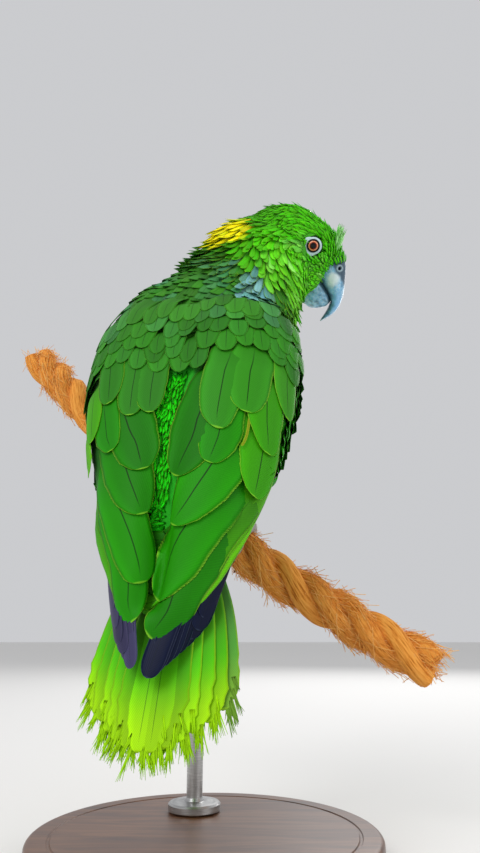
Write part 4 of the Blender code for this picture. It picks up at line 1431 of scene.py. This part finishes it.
def make_feet():
    """Scaly feet from the frame's shapes, and smooth claws."""
    skin = leather_material("grey_scaly_skin", ((0.3, "4d4a47"), (0.5, "7a7672"), (0.7, "9b9792")),
                            0.7, 1.5, 0.35)
    claw = horn_material("dark_claw_horn", ((0.3, "1d1c1c"), (0.55, "363434"), (0.75, "5a5653")), 0.3, 1.2)
    for side in ("left", "right"):
        foot = new_object(f"scaly_foot_{side}", *cad_mesh(f"foot_{side}"), skin)
        clean(foot, 0.01)
        modify(foot, "REMESH", mode="VOXEL", voxel_size=0.55 * MM)
        modify(foot, "SMOOTH", factor=0.5, iterations=4)
        applied(foot)
        raise_scales(foot)
        dress(foot.data, skin)
        settle(foot, "foot_skin", f"foot_{side}")
        nodes = [f"claw_{side}_{number}" for number in (1, 2, 3, 4)]
        claws = new_object(f"claws_{side}", *cad_mesh(*nodes), claw)
        clean(claws, 0.01)
        modify(claws, "SUBSURF", levels=2, render_levels=2)
        settle(applied(claws), "claw_horn", *nodes)


def raise_scales(foot):
    """Press the gaps between scales into the mesh."""
    points, faces = mesh_arrays(foot.data)
    normals = vertex_normals(points, faces)
    low, high = points.min(0), points.max(0)
    cells = low + np.random.default_rng(3).random((900, 3)) * (high - low)
    tree = KDTree(len(cells))
    for i, cell in enumerate(cells):
        tree.insert(Vector(cell), i)
    tree.balance()
    for i, point in enumerate(points):
        near = tree.find_n(Vector(point), 2)
        edge = near[1][2] - near[0][2]
        points[i] = point + normals[i] * (0.14 * min(1.0, edge / 0.6) - 0.12)
    foot.data.vertices.foreach_set("co", (points * MM).ravel())


# ---------------------------------------------------------------- rope

# Points along the rope's middle line.
ROPE = ((-137.0, 56.0, 129.0), (-104.0, 49.0, 98.0), (-68.0, 41.5, 62.0), (-34.0, 35.5, 31.0),
        (-14.0, 33.0, 14.0), (4.0, 33.0, -1.0), (24.0, 34.5, -15.5), (60.0, 38.5, -39.5),
        (112.0, 42.5, -70.0))


def rope_tree(material):
    """Geometry Nodes: strands twisted round a line, and fibres that stand off them."""
    tree = bpy.data.node_groups.new("twisted_rope", "GeometryNodeTree")
    for name, kind in (("Line", "Geometry"), ("Radius", "Float"), ("Lay", "Float"), ("Fibres", "Int"),
                       ("Seed", "Int")):
        tree.interface.new_socket(name, in_out="INPUT", socket_type=f"NodeSocket{kind}")
    tree.interface.new_socket("Rope", in_out="OUTPUT", socket_type="NodeSocketGeometry")
    web = Web(tree)
    entry = web.add("NodeGroupInput").outputs
    along = web.out("GeometryNodeResampleCurve", {"Curve": entry["Line"], "Count": 260})
    strands = join(web, *(rope_strand(web, entry, along, number) for number in range(3)))
    both = join(web, rope_fibres(web, entry, strands), strands)
    real = web.out("GeometryNodeRealizeInstances", {0: both})
    done = web.out("GeometryNodeSetMaterial", {"Geometry": real, "Material": material})
    web.add("NodeGroupOutput", {0: done})
    return tree


def join(web, *parts):
    node = web.add("GeometryNodeJoinGeometry")
    for part in parts:
        web.tree.links.new(part, node.inputs[0])
    return node.outputs[0]


def stored(web, geometry, name, value, kind="FLOAT_VECTOR"):
    """Geometry that keeps a value for each point under a name."""
    return web.out("GeometryNodeStoreNamedAttribute", {"Geometry": geometry, "Name": name, "Value": value},
                   data_type=kind, domain="POINT")


def named(web, name, kind="FLOAT_VECTOR"):
    return web.out("GeometryNodeInputNamedAttribute", {"Name": name}, data_type=kind)


def shifted(web, geometry, offset):
    return web.out("GeometryNodeSetPosition", {"Geometry": geometry, "Offset": offset})


def tube(web, line, section):
    return web.out("GeometryNodeCurveToMesh", {"Curve": line, 1: section, "Fill Caps": True})


def rope_strand(web, entry, along, number):
    """One strand: the line pushed sideways by a turning vector, then given a round section."""
    run = web.out("GeometryNodeSplineParameter", output="Length")
    angle = web.math("MULTIPLY_ADD", web.math("DIVIDE", run, entry["Lay"]), math.tau, math.tau * number / 3)
    tangent, normal = web.out("GeometryNodeInputTangent"), web.out("GeometryNodeInputNormal")
    turned = web.out("ShaderNodeVectorRotate", {"Vector": normal, "Axis": tangent, "Angle": angle},
                     rotation_type="AXIS_ANGLE")
    line = shifted(web, along, web.scaled(turned, web.math("MULTIPLY", entry["Radius"], 0.50)))
    line = stored(web, line, "grain", tangent)
    line = stored(web, line, "run", web.out("ShaderNodeCombineXYZ", {2: run}))
    circle = web.out("GeometryNodeCurvePrimitiveCircle",
                     {"Resolution": 26, "Radius": web.math("MULTIPLY", entry["Radius"], 0.49)})
    strand = tube(web, line, stored(web, circle, "section", web.out("GeometryNodeInputPosition")))
    # Streaks run along the strand, and each strand has its own.
    fibre = web.vector("ADD", named(web, "section"), web.scaled(named(web, "run"), 0.11))
    fibre = web.vector("ADD", fibre, (0.05 * number, 0.0, 0.0))
    strand = stored(web, strand, "fibre", fibre)
    lumps = web.math("MULTIPLY_ADD", web.noise(2.4, 3.0, fibre), 2.4 * MM, -1.2 * MM)
    strand = shifted(web, strand, web.scaled(web.out("GeometryNodeInputNormal"), lumps))
    return stored(web, strand, "strand", 0.18, "FLOAT")


def rope_fibres(web, entry, strands):
    """Thin bent fibres scattered on the strands, most lying along them and a few standing off."""
    def drawn(low, high, output):
        return web.out("FunctionNodeRandomValue", {2: low, 3: high, "Seed": entry["Seed"]}, output,
                       data_type="FLOAT")

    spots = web.add("GeometryNodeDistributePointsOnFaces",
                    {"Mesh": strands, "Density": 200000.0, "Seed": entry["Seed"]}).outputs
    over = web.out("FunctionNodeCompare", {2: web.out("GeometryNodeInputIndex"), 3: entry["Fibres"]},
                   data_type="INT", operation="GREATER_EQUAL")
    few = web.out("GeometryNodeDeleteGeometry", {"Geometry": spots[0], "Selection": over}, domain="POINT")
    bent = web.out("GeometryNodeCurvePrimitiveBezierSegment",
                   {"Resolution": 5, "Start": (0, -0.0003, -0.006), "Start Handle": (0, 0.0006, -0.002),
                    "End Handle": (0.0006, 0.0008, 0.004), "End": (0.0014, 0.0012, 0.0085)})
    hair = web.out("GeometryNodeCurvePrimitiveCircle", {"Resolution": 3, "Radius": 0.17 * MM})
    fibre = tube(web, bent, hair)
    spread = web.out("FunctionNodeRandomValue",
                     {"Min": (-1, -1, -1), "Max": (1, 1, 1), "Seed": entry["Seed"]},
                     data_type="FLOAT_VECTOR")
    cube = web.vector("MULTIPLY", web.vector("MULTIPLY", spread, spread), spread)
    stand = web.out("FunctionNodeAlignRotationToVector", {"Vector": spots["Normal"]}, axis="Y")
    lie = web.out("FunctionNodeAlignRotationToVector", {"Vector": named(web, "grain"), "Rotation": stand},
                  axis="Z", pivot_axis="Y")
    lie = web.out("FunctionNodeRotateRotation", {0: lie, 1: web.scaled(cube, 0.85)}, rotation_space="LOCAL")
    toned = stored(web, few, "tone", drawn(0.1, 0.9, "Value"), "FLOAT")
    set_on = web.out("GeometryNodeInstanceOnPoints",
                     {"Points": toned, "Instance": fibre, "Rotation": lie, "Scale": drawn(0.45, 1.1, 1)})
    real = web.out("GeometryNodeRealizeInstances", {0: set_on})
    return stored(web, real, "strand", named(web, "tone", "FLOAT"), "FLOAT")


def make_rope(settings):
    """The perch: a cut length of three-strand coir."""
    curve = bpy.data.curves.new("rope_line", "CURVE")
    curve.dimensions = "3D"
    spline = curve.splines.new("POLY")
    count = 60
    spline.points.add(count - 1)
    for i, point in enumerate(spline.points):
        point.co = (*(place(*smooth_row(ROPE, i / (count - 1))) * MM), 1.0)
    line = linked("coir_rope", curve)
    modifier = line.modifiers.new("twist", "NODES")
    modifier.node_group = rope_tree(coir_material())
    values = {"Radius": settings.radius, "Lay": settings.lay, "Fibres": settings.fibres,
              "Seed": settings.seed}
    for item in modifier.node_group.interface.items_tree:
        if item.name in values:
            modifier[item.identifier] = values[item.name]
    mesh = bpy.data.meshes.new_from_object(line.evaluated_get(bpy.context.evaluated_depsgraph_get()))
    bpy.data.objects.remove(line, do_unlink=True)
    mesh.shade_smooth()
    settle(linked("coir_rope", mesh), "coir_rope", "perch_rope")


# ---------------------------------------------------------------- stand and stage

def lathe(name, profile, centre, sides, material):
    """A turned body from (radius, height) pairs round an upright axis."""
    rings = [[np.array((centre[0] + r * math.cos(a), centre[1] + r * math.sin(a), z))
              for a in (math.tau * k / sides for k in range(sides))] for r, z in profile]
    made = new_object(name, *ring_mesh(rings), material)
    clean(made)
    made.data.set_sharp_from_angle(angle=math.radians(35))
    return made


def make_stand():
    """A turned walnut base and a steel rod with a cup under the rope."""
    radius, _, height = (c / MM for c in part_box("stand_base")[1])
    steps, bead = 6, 2.2
    edge = [(-0.2, -height), (0.0, 0.4 - height), (0.0, 3.6 - height), (-1.0, 4.0 - height),
            (-1.0, 4.8 - height), (0.0, 5.2 - height)]
    edge += [(bead * (math.cos(a) - 1), bead * (math.sin(a) - 1))
             for a in (math.pi / 2 * i / steps for i in range(steps + 1))]
    edge += [(-9.0, 0.0), (-9.4, -0.5), (-10.4, -0.5), (-10.8, 0.0)]
    profile = [(radius + out, height + up) for out, up in edge]
    settle(lathe("stand_base_turned", profile, (0.0, 0.0), 128, wood_material()), "walnut", "stand_base")
    low, high = (np.array(c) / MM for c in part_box("stand_rod"))
    foot, held = low[2], high[2] + 2.0
    profile = [(r, foot + up) for r, up in ((12.4, 0.0), (13.0, 0.6), (13.0, 3.2), (12.2, 4.0), (5.0, 4.6),
                                            (4.0, 6.0))]
    profile += [(r, held - down) for r, down in ((4.0, 26.0), (6.5, 20.0), (6.5, 5.0), (6.0, 4.5))]
    rod = lathe("stand_rod_turned", profile, (low + high)[:2] / 2, 64, steel_material())
    settle(rod, "steel", "stand_rod")


def make_stage(settings):
    """Pale floor, soft studio light and the camera."""
    scene = bpy.context.scene
    material = Look("pale_floor", 0.8, Base_Color=(*settings.floor, 1.0)).material
    edge = 14000
    corners = [(-edge, -edge, 0), (edge, -edge, 0), (edge, edge, 0), (-edge, edge, 0)]
    new_object("floor", corners, [(0, 1, 2, 3)], material, smooth=False)
    world = bpy.data.worlds.new("studio")
    world.use_nodes = True
    sky = world.node_tree.nodes["Background"].inputs
    sky[0].default_value, sky[1].default_value = (0.96, 0.97, 1.0, 1.0), 0.62
    scene.world = world
    target = Vector((0.0, 0.0, 0.19))
    for name, spot, power, size in (("key", (-0.75, -1.15, 1.15), 14.0, 0.9),
                                    ("fill", (1.3, -0.7, 0.6), 6.0, 1.2),
                                    ("back", (0.5, 1.3, 1.1), 11.0, 0.9)):
        data = bpy.data.lights.new(name, "AREA")
        data.energy, data.size = power, size
        light = linked(name, data)
        light.location = spot
        light.rotation_euler = (target - Vector(spot)).to_track_quat("-Z", "Y").to_euler()
    data = bpy.data.cameras.new("camera")
    data.lens, data.sensor_width, data.sensor_fit, data.clip_start = settings.lens, 36.0, "AUTO", 0.01
    scene.camera = camera = linked("camera", data)
    camera.location = (0.015, -0.335, 0.094)
    camera.rotation_euler = (math.pi / 2 + settings.pitch, 0.0, 0.0)
    scene.view_settings.view_transform = "Standard"


# ---------------------------------------------------------------- operators

class PARROT_OT_stage(bpy.types.Operator):
    """Set up the floor, the light and the camera"""
    bl_idname = "parrot.stage"
    bl_label = "Stage"

    def execute(self, context):
        make_stage(context.scene.parrot_stage)
        return {"FINISHED"}


class PARROT_OT_plumage(bpy.types.Operator):
    """Make the skin and every small feather"""
    bl_idname = "parrot.plumage"
    bl_label = "Skin and Small Feathers"

    def execute(self, context):
        settings = context.scene.parrot_plumage
        skin = make_skin(settings)
        dress_skin(skin)
        settle(skin, "green_feathers", *FLESH)
        # The last number of a vane material, where given, is its painted root shade.
        fine = feather_material("fine_face_vanes", 0.65, 0.3, 0.5, "86e63a", 0.5, 0.02, 0.10, 0.72)
        soft = feather_material("soft_body_vanes", 0.6, 0.8, 0.12, "4f9a22", 0.9, 0.03, 0.14, 0.66)
        ruffled = feather_material("ruffled_neck_vanes", 0.6, 0.6, 0.3, "a2e03a", 0.8, 0.02, 0.12, 0.68)
        looks = {"face": fine, "crown": fine, "cheek": fine, "neck": ruffled, "strip": ruffled}
        for kind, coat in make_small_feathers(skin, settings).items():
            settle(coat.piece(f"{kind}_feathers", looks.get(kind, soft)), "green_feathers")
        return {"FINISHED"}


class PARROT_OT_wings(bpy.types.Operator):
    """Lay the large feathers of both wings"""
    bl_idname = "parrot.wings"
    bl_label = "Wing Feathers"

    def execute(self, context):
        green, dark, rows = make_wings(context.scene.parrot_plumage)
        # The last number of a vane material, where given, is its painted root shade.
        vanes = feather_material("green_wing_vanes", 0.55, 0.9, 0.07, "a4ec3a", 1.1, 0.0, 0.08, 0.6)
        night = feather_material("blue_black_vanes", 0.36, 0.5, 0.08, "4a5470", 1.1, 0.0, 0.1)
        soft = feather_material("soft_scapular_vanes", 0.58, 0.85, 0.07, "74c43a", 1.0, 0.0, 0.10, 0.62)
        settle(green.piece("wing_feathers", vanes, spread=False), "green_feathers")
        settle(rows.piece("scapular_rows", soft, spread=False), "green_feathers")
        settle(dark.piece("primary_feathers", night, spread=False), "blue_black_feathers", *FLIGHT)
        return {"FINISHED"}


class PARROT_OT_tail(bpy.types.Operator):
    """Fan out the tail feathers and their frayed barbs"""
    bl_idname = "parrot.tail"
    bl_label = "Tail Feathers"

    def execute(self, context):
        vanes, barbs = make_tail(context.scene.parrot_plumage)
        # The last number of a vane material, where given, is its painted root shade.
        look = feather_material("lime_tail_vanes", 0.58, 0.6, 0.1, "b4ea20", 0.9, 0.0, 0.10, 0.75)
        settle(vanes.piece("tail_feathers", look, spread=False), "tail_feathers", "tail")
        loose = feather_material("loose_lime_barbs", 0.6, 0.0, 0.02, "b4ea20", 60.0, 0.0, 0.02, 0.9)
        settle(barbs.piece("tail_barbs", loose), "tail_feathers")
        return {"FINISHED"}


class PARROT_OT_head(bpy.types.Operator):
    """Make the bill, the cere and the eyes"""
    bl_idname = "parrot.head"
    bl_label = "Bill, Cere and Eyes"

    def execute(self, context):
        make_bill()
        make_eyes()
        return {"FINISHED"}


class PARROT_OT_feet(bpy.types.Operator):
    """Make the scaly feet and the claws"""
    bl_idname = "parrot.feet"
    bl_label = "Feet"

    def execute(self, context):
        make_feet()
        return {"FINISHED"}


class PARROT_OT_rope(bpy.types.Operator):
    """Twist the rope perch"""
    bl_idname = "parrot.rope"
    bl_label = "Rope Perch"

    def execute(self, context):
        make_rope(context.scene.parrot_rope)
        return {"FINISHED"}


class PARROT_OT_stand(bpy.types.Operator):
    """Turn the stand's base and finish its rod"""
    bl_idname = "parrot.stand"
    bl_label = "Display Stand"

    def execute(self, context):
        make_stand()
        return {"FINISHED"}


OPERATORS = (PARROT_OT_stage, PARROT_OT_plumage, PARROT_OT_wings, PARROT_OT_tail, PARROT_OT_head,
             PARROT_OT_feet, PARROT_OT_rope, PARROT_OT_stand)


class PARROT_PT_panel(bpy.types.Panel):
    """Lists the parrot's pieces"""
    bl_idname = "PARROT_PT_panel"
    bl_label = "Parrot"
    bl_space_type = "VIEW_3D"
    bl_region_type = "UI"
    bl_category = "Parrot"

    def draw(self, context):
        for operator in OPERATORS:
            self.layout.operator(operator.bl_idname)


GROUPS = {"parrot_plumage": PlumageSettings, "parrot_rope": RopeSettings, "parrot_stage": StageSettings}


def register():
    for name, group in GROUPS.items():
        bpy.utils.register_class(group)
        setattr(bpy.types.Scene, name, PointerProperty(type=group))
    for cls in (*OPERATORS, PARROT_PT_panel):
        bpy.utils.register_class(cls)


def unregister():
    for cls in reversed((*OPERATORS, PARROT_PT_panel)):
        bpy.utils.unregister_class(cls)
    for name, group in GROUPS.items():
        delattr(bpy.types.Scene, name)
        bpy.utils.unregister_class(group)


def main():
    register()
    for operator in OPERATORS:
        group, name = operator.bl_idname.split(".")
        getattr(getattr(bpy.ops, group), name)()


if __name__ == "__main__":
    main()
